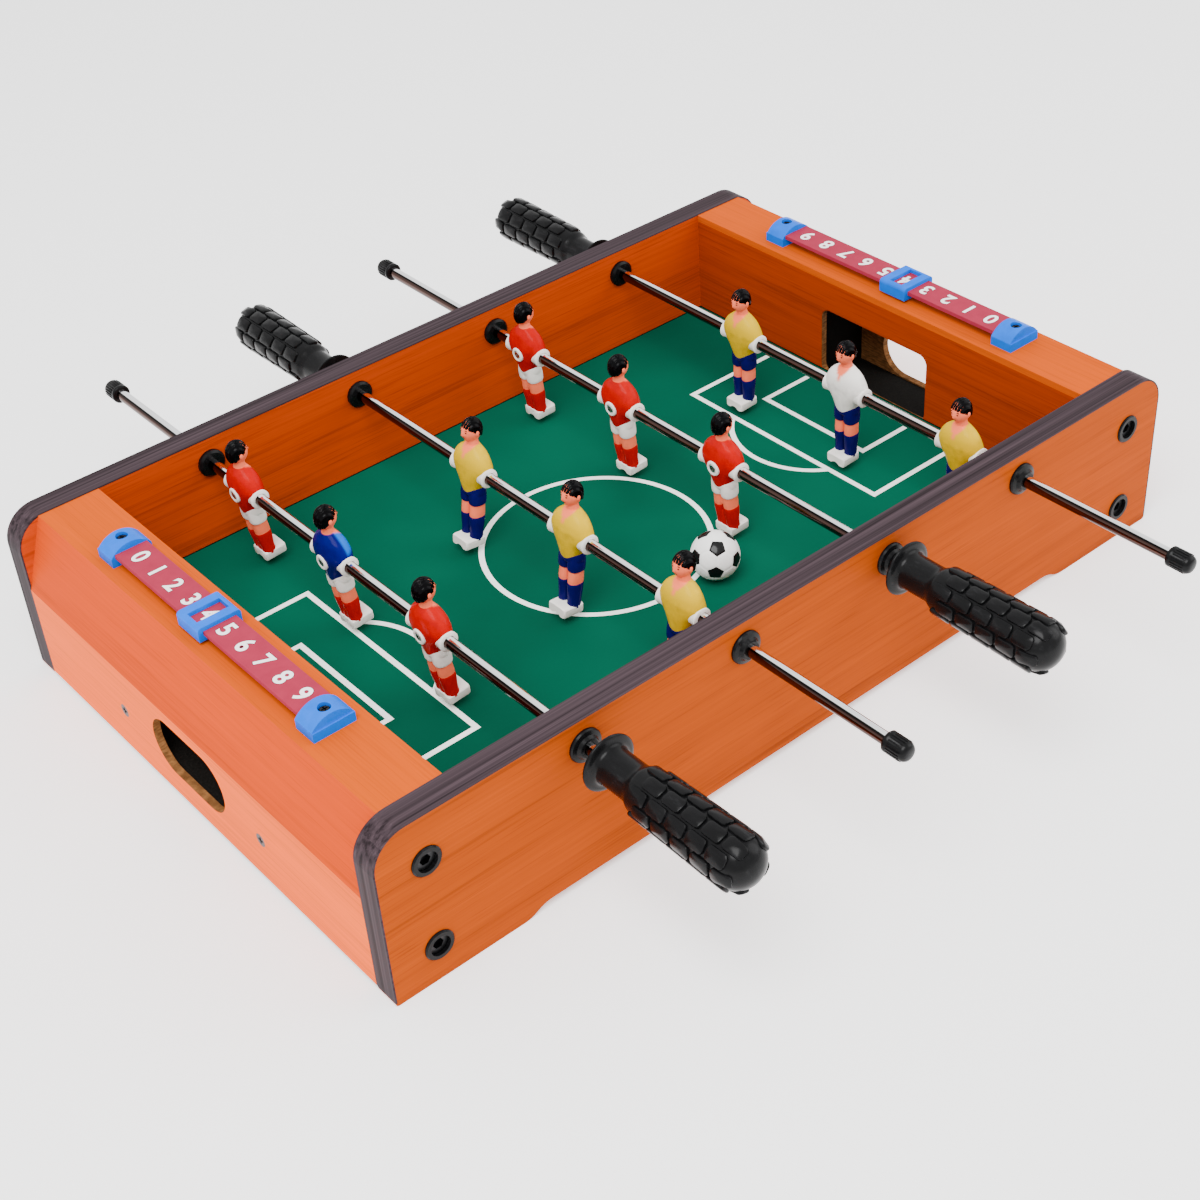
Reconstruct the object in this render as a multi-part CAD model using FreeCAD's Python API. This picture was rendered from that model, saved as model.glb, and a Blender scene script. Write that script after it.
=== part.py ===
"""Tabletop foosball table: a board cabinet, four sliding rods of three players, score keepers and a ball.

Millimetres. +X runs along the table from goal A to goal B, +Y across it to the far
long side and +Z up. The origin is the middle of the footprint, on the ground plane.
"""
import FreeCAD, Part
import math
import os
from FreeCAD import Vector

# ---------------------------------------------------------------- driving dimensions
TABLE_LENGTH = 510.0
TABLE_WIDTH = 324.0  # over the outer faces of the long side panels
PANEL_HEIGHT = 96.0
PANEL_THICKNESS = 14.3
PANEL_TOP_RADIUS = 18.0
PANEL_BOTTOM_RADIUS = 2.0
FOOT_INNER_RADIUS = 4.4  # along the inner bottom edge of each foot; less than the recess
EDGE_BAND_THICKNESS = 0.8
FOOT_LENGTH = 70.0  # flat foot at each end of a side panel
FOOT_RECESS = 4.6  # how far the panel edge rises between its feet
FOOT_CURVE_RADIUS = 16.0

BOARD_THICKNESS = 4.0  # goal walls and the three boards of each end
PITCH_THICKNESS = 4.0
PITCH_GROOVE_DEPTH = 5.0
END_DEPTH = 48.0  # from a goal wall's pitch side to the table's end
TOP_BOARD_DROP = 0.6  # the top boards lie this far below the side panels' top edge
SLOPE_RUN = 14.0  # how far the sloped board leans back
END_BOARD_GAP = 2.5  # the end board clears the ground by this
GOAL_WALL_FOOT = 8.0

GOAL_WIDTH = 82.0
GOAL_HEIGHT = 43.5
GOAL_SILL_DROP = 2.9  # from the playing surface down to the goal mouth's lower edge
GOAL_RADIUS = 6.0
RETURN_LENGTH = 64.0  # ball return hole, a slot with round ends
RETURN_HEIGHT = 32.0
RETURN_SILL_DROP = 15.4  # from the playing surface down to the hole's lower edge
RETURN_COVER = 7.0  # board left between the return hole and the sloped board
TRAY_THICKNESS = 3.0
TRAY_FALL = 6.0  # how far the goal tray drops towards the return hole
TRAY_LIP = 1.0  # the tray's low edge lies this far under the return hole
BLOCK_FOOT = 6.0  # height of the underside of the end blocks
CORNER_BLOCK_WIDTH = 26.0
CHEEK_WIDTH = 24.0
CHEEK_CENTRE = 62.0

ROD_TO_WALL = 63.9  # from an end rod to the goal wall beside it
ROD_DEPTH = 15.0  # from the side panels' top edge down to the rods
ROD_DIAMETER = 6.35
ROD_WALL = 0.8
ROD_SPIN_CLEARANCE = 0.05  # radial, between the tube and its plain-end cap
BUSH_CLEARANCE = 0.08  # radial, between the tube and its bushes
FIT = 0.1  # radial or one-sided gap of a seated piece

BUSH_BARREL_DIAMETER = 10.0
BUSH_FLANGE_DIAMETER = 17.3
BUSH_FLANGE_THICKNESS = 2.4
BUSH_NOSE_DIAMETER = 10.4
BUSH_NOSE_LENGTH = 1.8
COLLAR_DIAMETER = 15.5
COLLAR_THICKNESS = 2.8

HANDLE_TRAVEL = 42.1  # from bush to handle with the middle player on the centre line
HANDLE_LENGTH = 94.2
HANDLE_SOCKET = 56.0
FLANGE_DIAMETER = 28.2
NECK_DIAMETER = 18.4
GRIP_DIAMETER = 25.0
GRIP_END_DIAMETER = 27.0
GUARD_THICKNESS = 3.2  # the handle's thin guard flange
NECK_START = 7.0  # from the handle's flange face, as are the next two
NECK_END = 19.0
GRIP_START = 26.0
GRIP_DOME = 11.0  # length of the domed end
DOME_STEPS = 8
CAP_TRAVEL = 46.1  # from bush to cap with the middle player on the centre line
CAP_LENGTH = 12.7
CAP_DIAMETER = 10.5
CAP_SOCKET = 11.0

PLAYER_WALL_GAP = 7.5  # left between an outer player's hub and the collar at full travel
HUB_LENGTH = 28.0
HUB_DIAMETER = 13.4
PLAYER_FOOT = 44.4  # from the rod axis down to the sole
PLAYER_HEAD = 30.6  # from the rod axis up to the crown
FOOT_CLEARANCE = 4.2  # between a hanging player's sole and the pitch
PLAYER_SCREW_DIAMETER = 2.2
PLAYER_SCREW_HEAD = 5.0
SCREW_BOSS_RADIUS = 4.2
SCREW_BOSS_BACK = 8.0  # from the rod axis back to the boss's face
SCREW_BOSS_LENGTH = 6.0
# Each section of a player: half depth, half width, shift forward, height above the rod axis.
TORSO_SECTIONS = (
    (5.2, 6.8, 0.0, -10.5), (6.3, 9.4, 0.0, -5.0), (7.0, 12.6, 0.0, 0.5), (7.2, 13.6, 0.1, 5.0),
    (6.3, 11.9, 0.1, 10.0), (3.8, 5.0, 0.0, 15.0))
LEG_SECTIONS = ((5.3, 7.7, 0.0, -9.5), (4.7, 6.6, 0.2, -19.0), (4.2, 5.8, 0.6, -27.0))
ANKLE = (3.6, 4.9, 1.4)  # half depth, half width, shift forward
ANKLE_HEIGHT = 5.0  # above the sole
SHOE_HEEL = -2.6
SHOE_TOE = 10.1
SHOE_HALF_WIDTH = 6.4
SHOE_HEIGHT = 5.6
SHOE_RADIUS = 1.8
SHOE_ARCH_WIDTH = 7.0  # of the hollow under the sole, from heel to toe
SHOE_ARCH_HEIGHT = 1.6
HEAD_HEIGHT = 14.0
HEAD_DEPTH_SHARE = 0.82  # of the head's height, front to back
HEAD_WIDTH_SHARE = 0.70
HEAD_FORWARD = 0.6
NECK_ROOT_RADIUS = 3.6
NECK_TOP_RADIUS = 3.0
NECK_ROOT_HEIGHT = 13.0
NECK_LENGTH = 7.0

BALL_DIAMETER = 27.0
BALL_FROM_ROD = 26.1  # from the third rod towards the middle
BALL_Y = -66.0
BALL_GAP = 0.05

BOLT_INSET = 25.6  # from each end of the side panel
LOWER_BOLT_HEIGHT = 20.2
UPPER_BOLT_DEPTH = 25.3  # from the side panels' top edge
BOLT_DIAMETER = 6.0
BOLT_HEAD_DIAMETER = 10.0
BOLT_HEAD_LENGTH = 4.0
BOLT_REACH = 14.0  # how far a bolt goes into its corner block
BOLT_SOCKET = 5.0  # hexagon across flats
BOLT_SOCKET_DEPTH = 2.6
CUP_RIM_DIAMETER = 15.4
CUP_RIM_THICKNESS = 1.2
CUP_DIAMETER = 12.6
CUP_DEPTH = 6.0
CUP_WALL = 1.1
CUP_RIM_BEVEL = 0.6
INSERT_DIAMETER = 9.0
INSERT_LENGTH = 12.0

BOARD_SCREW_HEAD = 7.2
BOARD_SCREW_DIAMETER = 3.5
BOARD_SCREW_LENGTH = 25.0
BOARD_SCREW_RISE = 11.4  # above the return hole's lower edge
SCREW_TIP = 3.0  # length of a wood screw's point
RECESS_SHARE = 0.57  # span of a cross recess, as a share of its screw's head
RECESS_WIDTH_SHARE = 0.24  # width of its slots, as a share of the span
RECESS_DEPTH = 0.9

STRIP_INSET = 30.4  # from the table's end to the middle of the score strip
STRIP_WIDTH = 17.5
STRIP_THICKNESS = 2.2
STRIP_RISE = 6.9  # of the strip's top above the top board
STRIP_SEAT = 3.8  # how far the strip goes into each bracket
MARKER_STOP_GAP = 0.275  # between a bracket and the marker over the last digit
BRACKET_LENGTH = 14.0
BRACKET_WIDTH = 22.0
BRACKET_SIDE = 5.0
BRACKET_HEIGHT = 10.5
BRACKET_LEDGE = 0.8  # how far the arched part of the outer end is set back
BRACKET_SCREW_HEAD = 5.6
BRACKET_SCREW_DIAMETER = 2.8
BRACKET_SCREW_ROOM = 0.3  # radial, round the screw head
BRACKET_SCREW_PLACE = 0.55  # share of the bracket's length
BRACKET_SCREW_SINK = 1.2  # of the screw head below the arch's crown
BRACKET_SCREW_POINT = 1.5
BRACKET_SCREW_BITE = 1.0  # past the top board's underside
SCREW_HEAD_THICKNESS = 1.5
MARKER_WIDTH = 23.0
MARKER_LENGTH = 19.0
MARKER_ROOF = 2.2
MARKER_LIFT = 1.8  # of the marker's underside above the top board
MARKER_ROUNDING = 2.0  # of the two top edges along the strip
MARKER_WINDOW_WIDTH = 17.0  # across the strip
MARKER_WINDOW_LENGTH = 8.7
MARKER_LIP = 3.5
MARKER_CLEARANCE = 0.15
DIGIT_PITCH = 15.65
DIGIT_SHOWN = 4
DIGITS = 10

# rod number, handle side (-1 near, +1 far), gap from handle to bush, facing, tilt in degrees
RODS = (
    (1, -1, 10.9, 1, 4.5),
    (2, 1, 3.8, -1, -5.9),
    (3, -1, 6.1, 1, 2.2),
    (4, 1, 0.9, -1, 1.8),
)

# ---------------------------------------------------------------- derived places
HALF_LENGTH = TABLE_LENGTH / 2
OUTER_Y = TABLE_WIDTH / 2
INNER_Y = OUTER_Y - PANEL_THICKNESS
WALL_X = HALF_LENGTH - END_DEPTH
WALL_BACK_X = WALL_X + BOARD_THICKNESS
ENDS = (("a", -1), ("b", 1))
SIDES = (("near", -1), ("far", 1))
BOLT_X = HALF_LENGTH - BOLT_INSET
BOLT_HEIGHTS = (LOWER_BOLT_HEIGHT, PANEL_HEIGHT - UPPER_BOLT_DEPTH)

ROD_RADIUS = ROD_DIAMETER / 2
ROD_HEIGHT = PANEL_HEIGHT - ROD_DEPTH
ROD_PITCH = 2 * (WALL_X - ROD_TO_WALL) / (len(RODS) - 1)
BUSH_TIP_Y = OUTER_Y + BUSH_FLANGE_THICKNESS + BUSH_NOSE_LENGTH
HANDLE_START = BUSH_TIP_Y + HANDLE_TRAVEL  # flange face, from the middle player
CAP_START = BUSH_TIP_Y + CAP_TRAVEL
PLAYER_SPACING = INNER_Y - COLLAR_THICKNESS - HUB_LENGTH / 2 - HANDLE_TRAVEL - PLAYER_WALL_GAP

PITCH_TOP = ROD_HEIGHT - PLAYER_FOOT - FOOT_CLEARANCE  # height of the playing surface
GOAL_SILL = PITCH_TOP - GOAL_SILL_DROP
GOAL_TOP = GOAL_SILL + GOAL_HEIGHT
RETURN_SILL = PITCH_TOP - RETURN_SILL_DROP
SLOPE_FOOT = RETURN_SILL + RETURN_HEIGHT + RETURN_COVER  # where slope and end board meet
BOARD_SCREW_HEIGHT = RETURN_SILL + BOARD_SCREW_RISE
TOP_BOARD_TOP = PANEL_HEIGHT - TOP_BOARD_DROP
TOP_BOARD_END = HALF_LENGTH - SLOPE_RUN  # where the top board turns into the sloped one

STRIP_CENTRE = HALF_LENGTH - STRIP_INSET
STRIP_TOP = TOP_BOARD_TOP + STRIP_RISE
LAST_DIGIT_Y = (DIGITS - 1) / 2 * DIGIT_PITCH
BRACKET_START = LAST_DIGIT_Y + MARKER_LENGTH / 2 + MARKER_STOP_GAP
STRIP_LENGTH = 2 * (BRACKET_START + STRIP_SEAT)
MARKER_FLOOR = TOP_BOARD_TOP + MARKER_LIFT

X, Y, Z = Vector(1, 0, 0), Vector(0, 1, 0), Vector(0, 0, 1)
ORIGIN = Vector(0, 0, 0)


# ---------------------------------------------------------------- helpers
def box(low, high):
    size = [h - l for l, h in zip(low, high)]
    return Part.makeBox(*size, Vector(*low))


def rod(radius, start, axis, length):
    return Part.makeCylinder(radius, length, Vector(*start), axis)


def across(profile, low_y, high_y):
    """A prism along Y from a closed list of (x, z) points."""
    points = [Vector(x, low_y, z) for x, z in profile]
    face = Part.Face(Part.makePolygon(points + points[:1]))
    return face.extrude(Vector(0, high_y - low_y, 0))


def turned(profile, start, along):
    """A solid of revolution from (distance along, radius) points, from start in direction along."""
    points = [Vector(u, 0, r) for u, r in profile]
    solid = Part.Face(Part.makePolygon(points + points[:1])).revolve(ORIGIN, X, 360)
    solid = Part.makeSolid(solid.Shells[0]) if solid.ShapeType != "Solid" else solid
    if solid.Volume < 0:
        solid.reverse()
    placed = solid.copy()
    placed.Placement = FreeCAD.Placement(Vector(*start), FreeCAD.Rotation(X, along))
    return placed


def hexagon_socket(centre, axis, flats, depth):
    ring = [
        Vector(flats / math.sqrt(3) * math.cos(math.radians(60 * i)),
               flats / math.sqrt(3) * math.sin(math.radians(60 * i)), 0)
        for i in range(6)
    ]
    prism = Part.Face(Part.makePolygon(ring + ring[:1])).extrude(Vector(0, 0, depth))
    prism.Placement = FreeCAD.Placement(Vector(*centre), FreeCAD.Rotation(Z, axis))
    return prism


def cross_recess(centre, axis, head_diameter):
    """A cross-head recess: two crossed slots that sink along axis."""
    span = head_diameter * RECESS_SHARE
    width = span * RECESS_WIDTH_SHARE
    slots = Part.makeBox(span, width, RECESS_DEPTH, Vector(-span / 2, -width / 2, 0)).fuse(
        Part.makeBox(width, span, RECESS_DEPTH, Vector(-width / 2, -span / 2, 0)))
    slots.Placement = FreeCAD.Placement(Vector(*centre), FreeCAD.Rotation(Z, axis))
    return slots


def ellipse_section(rx, ry, x, z):
    """A horizontal closed ellipse around (x, 0, z), with its seam on the X side."""
    if rx >= ry:
        curve = Part.Ellipse(Vector(x, 0, z), rx, ry)
    else:
        curve = Part.Ellipse(Vector(x, ry, z), Vector(x - rx, 0, z), Vector(x, 0, z))
    return Part.Wire(curve.toShape())


def slot_wire(length, height, sill, x):
    """A closed slot with round ends in the plane of x, its flats along Y."""
    r = height / 2
    a = length / 2 - r
    z = sill + r
    edges = [
        Part.makeLine(Vector(x, -a, z - r), Vector(x, a, z - r)),
        Part.Arc(Vector(x, a, z - r), Vector(x, a + r, z), Vector(x, a, z + r)).toShape(),
        Part.makeLine(Vector(x, a, z + r), Vector(x, -a, z + r)),
        Part.Arc(Vector(x, -a, z + r), Vector(x, -a - r, z), Vector(x, -a, z - r)).toShape(),
    ]
    return Part.Wire(edges)


def rounded_edges(solid, radius, chosen):
    edges = [e for e in solid.Edges if chosen(e)]
    return solid.makeFillet(radius, edges)


def mirrored(shape, end):
    """The shape as built for end B, turned half a turn about Z for end A."""
    copy = shape.copy()
    if end < 0:
        copy.rotate(ORIGIN, Z, 180)
    return copy


def save(name, shapes):
    solids = [s for shape in shapes for s in shape.Solids]
    whole = solids[0] if len(solids) == 1 else Part.makeCompound(solids)
    for solid in solids:
        if not solid.isValid() or solid.Volume <= 0:
            raise ValueError("bad solid in " + name)
    whole.exportStep(os.path.join("parts", name + ".step"))


# ---------------------------------------------------------------- side panels
def panel_outline():
    """The side panel's outline in the XZ plane: round top corners, a foot at each end."""
    h, r, b = PANEL_HEIGHT, PANEL_TOP_RADIUS, PANEL_BOTTOM_RADIUS
    k = math.sqrt(0.5)
    curve = math.sqrt(4 * FOOT_RECESS * FOOT_CURVE_RADIUS - FOOT_RECESS**2)
    lift = math.atan2(curve / 2, FOOT_CURVE_RADIUS - FOOT_RECESS / 2) / 2
    heel_x = HALF_LENGTH - FOOT_LENGTH
    arch_x = heel_x - curve
    dx, dz = FOOT_CURVE_RADIUS * math.sin(lift), FOOT_CURVE_RADIUS * (1 - math.cos(lift))

    def half(s):
        """Edges of one half, from the middle of the underside to the middle of the top."""
        heel, arch, mid = s * heel_x, s * arch_x, s * (heel_x + arch_x) / 2
        end, top = s * HALF_LENGTH, s * (HALF_LENGTH - r)
        at = lambda x, z: Vector(x, 0, z)
        return [
            Part.makeLine(at(0, FOOT_RECESS), at(arch, FOOT_RECESS)),
            Part.Arc(at(arch, FOOT_RECESS), at(arch + s * dx, FOOT_RECESS - dz),
                     at(mid, FOOT_RECESS / 2)).toShape(),
            Part.Arc(at(mid, FOOT_RECESS / 2), at(heel - s * dx, dz), at(heel, 0)).toShape(),
            Part.makeLine(at(heel, 0), at(end - s * b, 0)),
            Part.Arc(at(end - s * b, 0), at(end - s * b * (1 - k), b * (1 - k)),
                     at(end, b)).toShape(),
            Part.makeLine(at(end, b), at(end, h - r)),
            Part.Arc(at(end, h - r), at(end - s * r * (1 - k), h - r * (1 - k)),
                     at(top, h)).toShape(),
            Part.makeLine(at(top, h), at(0, h)),
        ]

    return Part.Wire(Part.__sortEdges__(half(1) + half(-1)))


def edge_band_core():
    """What is left of the outline inside the edge band, as a tall prism without its own foot."""
    t, r = EDGE_BAND_THICKNESS, PANEL_TOP_RADIUS - EDGE_BAND_THICKNESS
    end, top = HALF_LENGTH - t, PANEL_HEIGHT - t
    k = math.sqrt(0.5)
    at = lambda x, z: Vector(x, 0, z)
    edges = [Part.makeLine(at(-end, -10), at(end, -10)), Part.makeLine(at(end, -10), at(end, top - r))]
    edges += [Part.Arc(at(end, top - r), at(end - r * (1 - k), top - r * (1 - k)),
                       at(end - r, top)).toShape()]
    edges += [Part.makeLine(at(end - r, top), at(-end + r, top))]
    edges += [Part.Arc(at(-end + r, top), at(-end + r * (1 - k), top - r * (1 - k)),
                       at(-end, top - r)).toShape()]
    edges += [Part.makeLine(at(-end, top - r), at(-end, -10))]
    return Part.Face(Part.Wire(edges)).extrude(Vector(0, PANEL_THICKNESS, 0))


def side_panel_and_band():
    """The far side panel and its edge band, both from y = 0 to the panel's thickness."""
    blank = Part.Face(panel_outline()).extrude(Vector(0, PANEL_THICKNESS, 0))
    r = FOOT_INNER_RADIUS
    corner = box((-TABLE_LENGTH, -r, -r), (TABLE_LENGTH, r, r))
    blank = blank.cut(corner.cut(rod(r, (-TABLE_LENGTH, r, r), X, 2 * TABLE_LENGTH)))
    low = box((-TABLE_LENGTH, -1, -10), (TABLE_LENGTH, PANEL_THICKNESS + 1, PANEL_BOTTOM_RADIUS))
    core = edge_band_core()
    band = blank.cut(core).cut(low)
    panel = blank.cut(band)
    holes = []
    for i in range(len(RODS)):
        holes.append(rod(BUSH_BARREL_DIAMETER / 2 + FIT, (rod_x(i), -1, ROD_HEIGHT), Y,
                         PANEL_THICKNESS + 2))
    for x, z in bolt_places():
        holes.append(rod(BOLT_DIAMETER / 2 + FIT, (x, -1, z), Y, PANEL_THICKNESS + 2))
        holes.append(rod(CUP_DIAMETER / 2 + FIT, (x, PANEL_THICKNESS - CUP_DEPTH - FIT, z), Y,
                         CUP_DEPTH + 1))
    groove = box((-WALL_X, -1, PITCH_TOP - PITCH_THICKNESS - FIT / 2),
                 (WALL_X, PITCH_GROOVE_DEPTH + FIT, PITCH_TOP + FIT / 2))
    return panel.cut(Part.makeCompound(holes + [groove])), band


def rod_x(i):
    return (i - (len(RODS) - 1) / 2) * ROD_PITCH


def bolt_places():
    return [(s * BOLT_X, z) for s in (-1, 1) for z in BOLT_HEIGHTS]


def on_side(shape, side, depth=0.0):
    """A piece built for the far side with y = 0 on the panel's inner face, moved to its side."""
    copy = shape.copy()
    if side < 0:
        copy.rotate(ORIGIN, Z, 180)
    copy.translate(Vector(0, side * (INNER_Y + depth), 0))
    return copy


def build_side_panels():
    panel, band = side_panel_and_band()
    for name, side in SIDES:
        save("side_panel_" + name, [on_side(panel, side)])
    save("edge_bands", [on_side(band, side) for _, side in SIDES])


# ---------------------------------------------------------------- playfield and ends
def end_profile(inset):
    """The end's outer line from the top's inner edge to the foot, moved inwards by inset."""
    top, foot = TOP_BOARD_TOP, END_BOARD_GAP
    run, drop = HALF_LENGTH - TOP_BOARD_END, top - SLOPE_FOOT
    slope = math.atan2(drop, run)
    upper = inset * math.tan(slope / 2)
    lower = inset * math.tan((math.pi / 2 - slope) / 2)
    return [
        (WALL_X, top - inset),
        (TOP_BOARD_END - upper, top - inset),
        (HALF_LENGTH - inset, SLOPE_FOOT - lower),
        (HALF_LENGTH - inset, foot),
    ]


def end_boards():
    outer, inner = end_profile(0), end_profile(BOARD_THICKNESS)
    boards = []
    for i in range(3):
        corner = [outer[i], outer[i + 1], inner[i + 1], inner[i]]
        boards.append(across(corner, -INNER_Y, INNER_Y))
    return boards


def block_profile():
    inner = end_profile(BOARD_THICKNESS)
    return [
        (WALL_BACK_X, BLOCK_FOOT), (HALF_LENGTH - BOARD_THICKNESS, BLOCK_FOOT),
        inner[2], inner[1], (WALL_BACK_X, TOP_BOARD_TOP - BOARD_THICKNESS),
    ]


def goal_wall():
    wall = box((WALL_X, -INNER_Y, GOAL_WALL_FOOT),
               (WALL_BACK_X, INNER_Y, TOP_BOARD_TOP - BOARD_THICKNESS))
    mouth = box((WALL_X - 1, -GOAL_WIDTH / 2, GOAL_SILL), (WALL_BACK_X + 1, GOAL_WIDTH / 2, GOAL_TOP))
    mouth = rounded_edges(mouth, GOAL_RADIUS, lambda e: abs(e.tangentAt(e.FirstParameter).x) > 0.9)
    return wall.cut(mouth)


def goal_tray():
    """The sloping floor that rolls a ball from the goal mouth to the return hole."""
    low = RETURN_SILL - TRAY_LIP
    high = low + TRAY_FALL
    back = HALF_LENGTH - BOARD_THICKNESS
    side = CHEEK_CENTRE - CHEEK_WIDTH / 2
    profile = [(WALL_BACK_X, high - TRAY_THICKNESS), (back, low - TRAY_THICKNESS),
               (back, low), (WALL_BACK_X, high)]
    return across(profile, -side, side)


def build_playfield_and_ends():
    reach = INNER_Y + PITCH_GROOVE_DEPTH
    save("playfield_board", [box((-WALL_X, -reach, PITCH_TOP - PITCH_THICKNESS),
                                 (WALL_X, reach, PITCH_TOP))])
    top_board, slope_board, end_board = end_boards()
    top_holes = [rod(BRACKET_SCREW_DIAMETER / 2, (STRIP_CENTRE, s * bracket_screw_y(), 0), Z, 200)
                 for s in (-1, 1)]
    top_board = top_board.cut(Part.makeCompound(top_holes))
    hole = Part.Face(slot_wire(RETURN_LENGTH, RETURN_HEIGHT, RETURN_SILL, HALF_LENGTH - 50))
    end_board = end_board.cut(hole.extrude(Vector(100, 0, 0)))
    screws = board_screws()
    end_board = end_board.cut(Part.makeCompound([s for s, _ in screws]))
    corner = across(block_profile(), INNER_Y - CORNER_BLOCK_WIDTH, INNER_Y)
    bores = [rod(INSERT_DIAMETER / 2, (BOLT_X, INNER_Y - INSERT_LENGTH, z), Y, 100) for z in BOLT_HEIGHTS]
    bores += [rod(BOLT_DIAMETER / 2 + FIT, (BOLT_X, INNER_Y - BOLT_REACH - 1, z), Y, 100)
              for z in BOLT_HEIGHTS]
    corner = corner.cut(bores)
    other_corner = corner.mirror(ORIGIN, Y)
    cheek = across(block_profile(), CHEEK_CENTRE - CHEEK_WIDTH / 2, CHEEK_CENTRE + CHEEK_WIDTH / 2)
    cheeks = [cheek.cut(screws[0][0]), cheek.mirror(ORIGIN, Y).cut(screws[1][0])]
    wall, tray = goal_wall(), goal_tray()
    for name, end in ENDS:
        save("top_board_" + name, [mirrored(top_board, end)])
        save("slope_board_" + name, [mirrored(slope_board, end)])
        save("end_board_" + name, [mirrored(end_board, end)])
        save("goal_wall_" + name, [mirrored(wall, end)])
        save("goal_tray_" + name, [mirrored(tray, end)])
        save("corner_blocks_" + name, [mirrored(corner, end), mirrored(other_corner, end)])
        save("goal_cheeks_" + name, [mirrored(c, end) for c in cheeks])
    save("end_board_screws", [mirrored(s, end) for _, end in ENDS for _, s in screws])


def board_screws():
    """For each screw of end B: its full envelope, and the screw with its cross recess."""
    pairs = []
    cone = (BOARD_SCREW_HEAD - BOARD_SCREW_DIAMETER) / 2
    for side in (1, -1):
        start = (HALF_LENGTH, side * CHEEK_CENTRE, BOARD_SCREW_HEIGHT)
        profile = [(0, 0), (0, BOARD_SCREW_HEAD / 2), (cone, BOARD_SCREW_DIAMETER / 2),
                   (BOARD_SCREW_LENGTH - SCREW_TIP, BOARD_SCREW_DIAMETER / 2), (BOARD_SCREW_LENGTH, 0)]
        envelope = turned(profile, start, Vector(-1, 0, 0))
        recess = cross_recess(start, Vector(-1, 0, 0), BOARD_SCREW_HEAD)
        pairs.append((envelope, envelope.cut(recess)))
    return pairs


# ---------------------------------------------------------------- bolts of the side panels
def bolt_set():
    """Cup, bolt and threaded insert on the Y axis, with y = 0 on the panel's inner face."""
    face = PANEL_THICKNESS
    seat = face - CUP_DEPTH
    bore = CUP_DIAMETER / 2 - CUP_WALL
    rim, brim = CUP_RIM_DIAMETER / 2, CUP_DEPTH + CUP_RIM_THICKNESS
    cup = turned([(0, BOLT_DIAMETER / 2 + FIT), (0, CUP_DIAMETER / 2), (CUP_DEPTH, CUP_DIAMETER / 2),
                  (CUP_DEPTH, rim), (brim - CUP_RIM_BEVEL, rim), (brim, rim - CUP_RIM_BEVEL),
                  (brim, bore), (CUP_WALL, bore),
                  (CUP_WALL, BOLT_DIAMETER / 2 + FIT)], (0, seat, 0), Y)
    head = seat + CUP_WALL
    bolt = turned([(0, 0), (0, BOLT_DIAMETER / 2), (BOLT_REACH + head, BOLT_DIAMETER / 2),
                   (BOLT_REACH + head, BOLT_HEAD_DIAMETER / 2),
                   (BOLT_REACH + head + BOLT_HEAD_LENGTH, BOLT_HEAD_DIAMETER / 2),
                   (BOLT_REACH + head + BOLT_HEAD_LENGTH, 0)], (0, -BOLT_REACH, 0), Y)
    socket = hexagon_socket((0, head + BOLT_HEAD_LENGTH - BOLT_SOCKET_DEPTH, 0), Y, BOLT_SOCKET,
                            BOLT_SOCKET_DEPTH + 1)
    insert = rod(INSERT_DIAMETER / 2, (0, -INSERT_LENGTH, 0), Y, INSERT_LENGTH)
    insert = insert.cut(rod(BOLT_DIAMETER / 2, (0, -INSERT_LENGTH - 1, 0), Y, INSERT_LENGTH + 2))
    return cup, bolt.cut(socket), insert


def build_panel_bolts():
    names = ("bolt_cups", "panel_bolts", "threaded_inserts")
    for name, piece in zip(names, bolt_set()):
        copies = []
        for x, z in bolt_places():
            for _, side in SIDES:
                copy = on_side(piece, side)
                copy.translate(Vector(x, 0, z))
                copies.append(copy)
        save(name, copies)


# ---------------------------------------------------------------- bushes
def bush_and_collar():
    """A flanged rod bush and its inner collar, with y = 0 on the panel's inner face."""
    bore = ROD_RADIUS + BUSH_CLEARANCE
    barrel = BUSH_BARREL_DIAMETER / 2
    nose, flange = BUSH_NOSE_DIAMETER / 2, BUSH_FLANGE_DIAMETER / 2
    face = PANEL_THICKNESS + COLLAR_THICKNESS
    rim, tip = face + BUSH_FLANGE_THICKNESS, face + BUSH_FLANGE_THICKNESS + BUSH_NOSE_LENGTH
    bush = turned([(0, bore), (0, barrel), (face, barrel), (face, flange), (rim - 1.4, flange),
                   (rim - 0.6, flange - 0.5), (rim, nose + 1.0), (tip - 0.4, nose), (tip, nose - 0.6),
                   (tip, bore)], (0, -COLLAR_THICKNESS, 0), Y)
    edge = COLLAR_DIAMETER / 2
    collar = turned([(0, barrel + FIT), (0, edge - 1.2), (1.0, edge), (COLLAR_THICKNESS, edge),
                     (COLLAR_THICKNESS, barrel + FIT)], (0, -COLLAR_THICKNESS, 0), Y)
    return bush, collar


def build_bushes():
    for name, piece in zip(("rod_bushes", "bush_collars"), bush_and_collar()):
        copies = []
        for i in range(len(RODS)):
            for _, side in SIDES:
                copy = on_side(piece, side)
                copy.translate(Vector(rod_x(i), 0, ROD_HEIGHT))
                copies.append(copy)
        save(name, copies)


# ---------------------------------------------------------------- rods: built along +Y, handle at -Y
def rod_tube():
    start = -HANDLE_START - HANDLE_SOCKET
    length = CAP_START + CAP_SOCKET - start
    tube = rod(ROD_RADIUS, (0, start, 0), Y, length)
    tube = tube.cut(rod(ROD_RADIUS - ROD_WALL, (0, start - 1, 0), Y, length + 2))
    holes = [rod(PLAYER_SCREW_DIAMETER / 2, (0, y, 0), Vector(-1, 0, 0), ROD_DIAMETER)
             for y in player_places()]
    return tube.cut(Part.makeCompound(holes))


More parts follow.
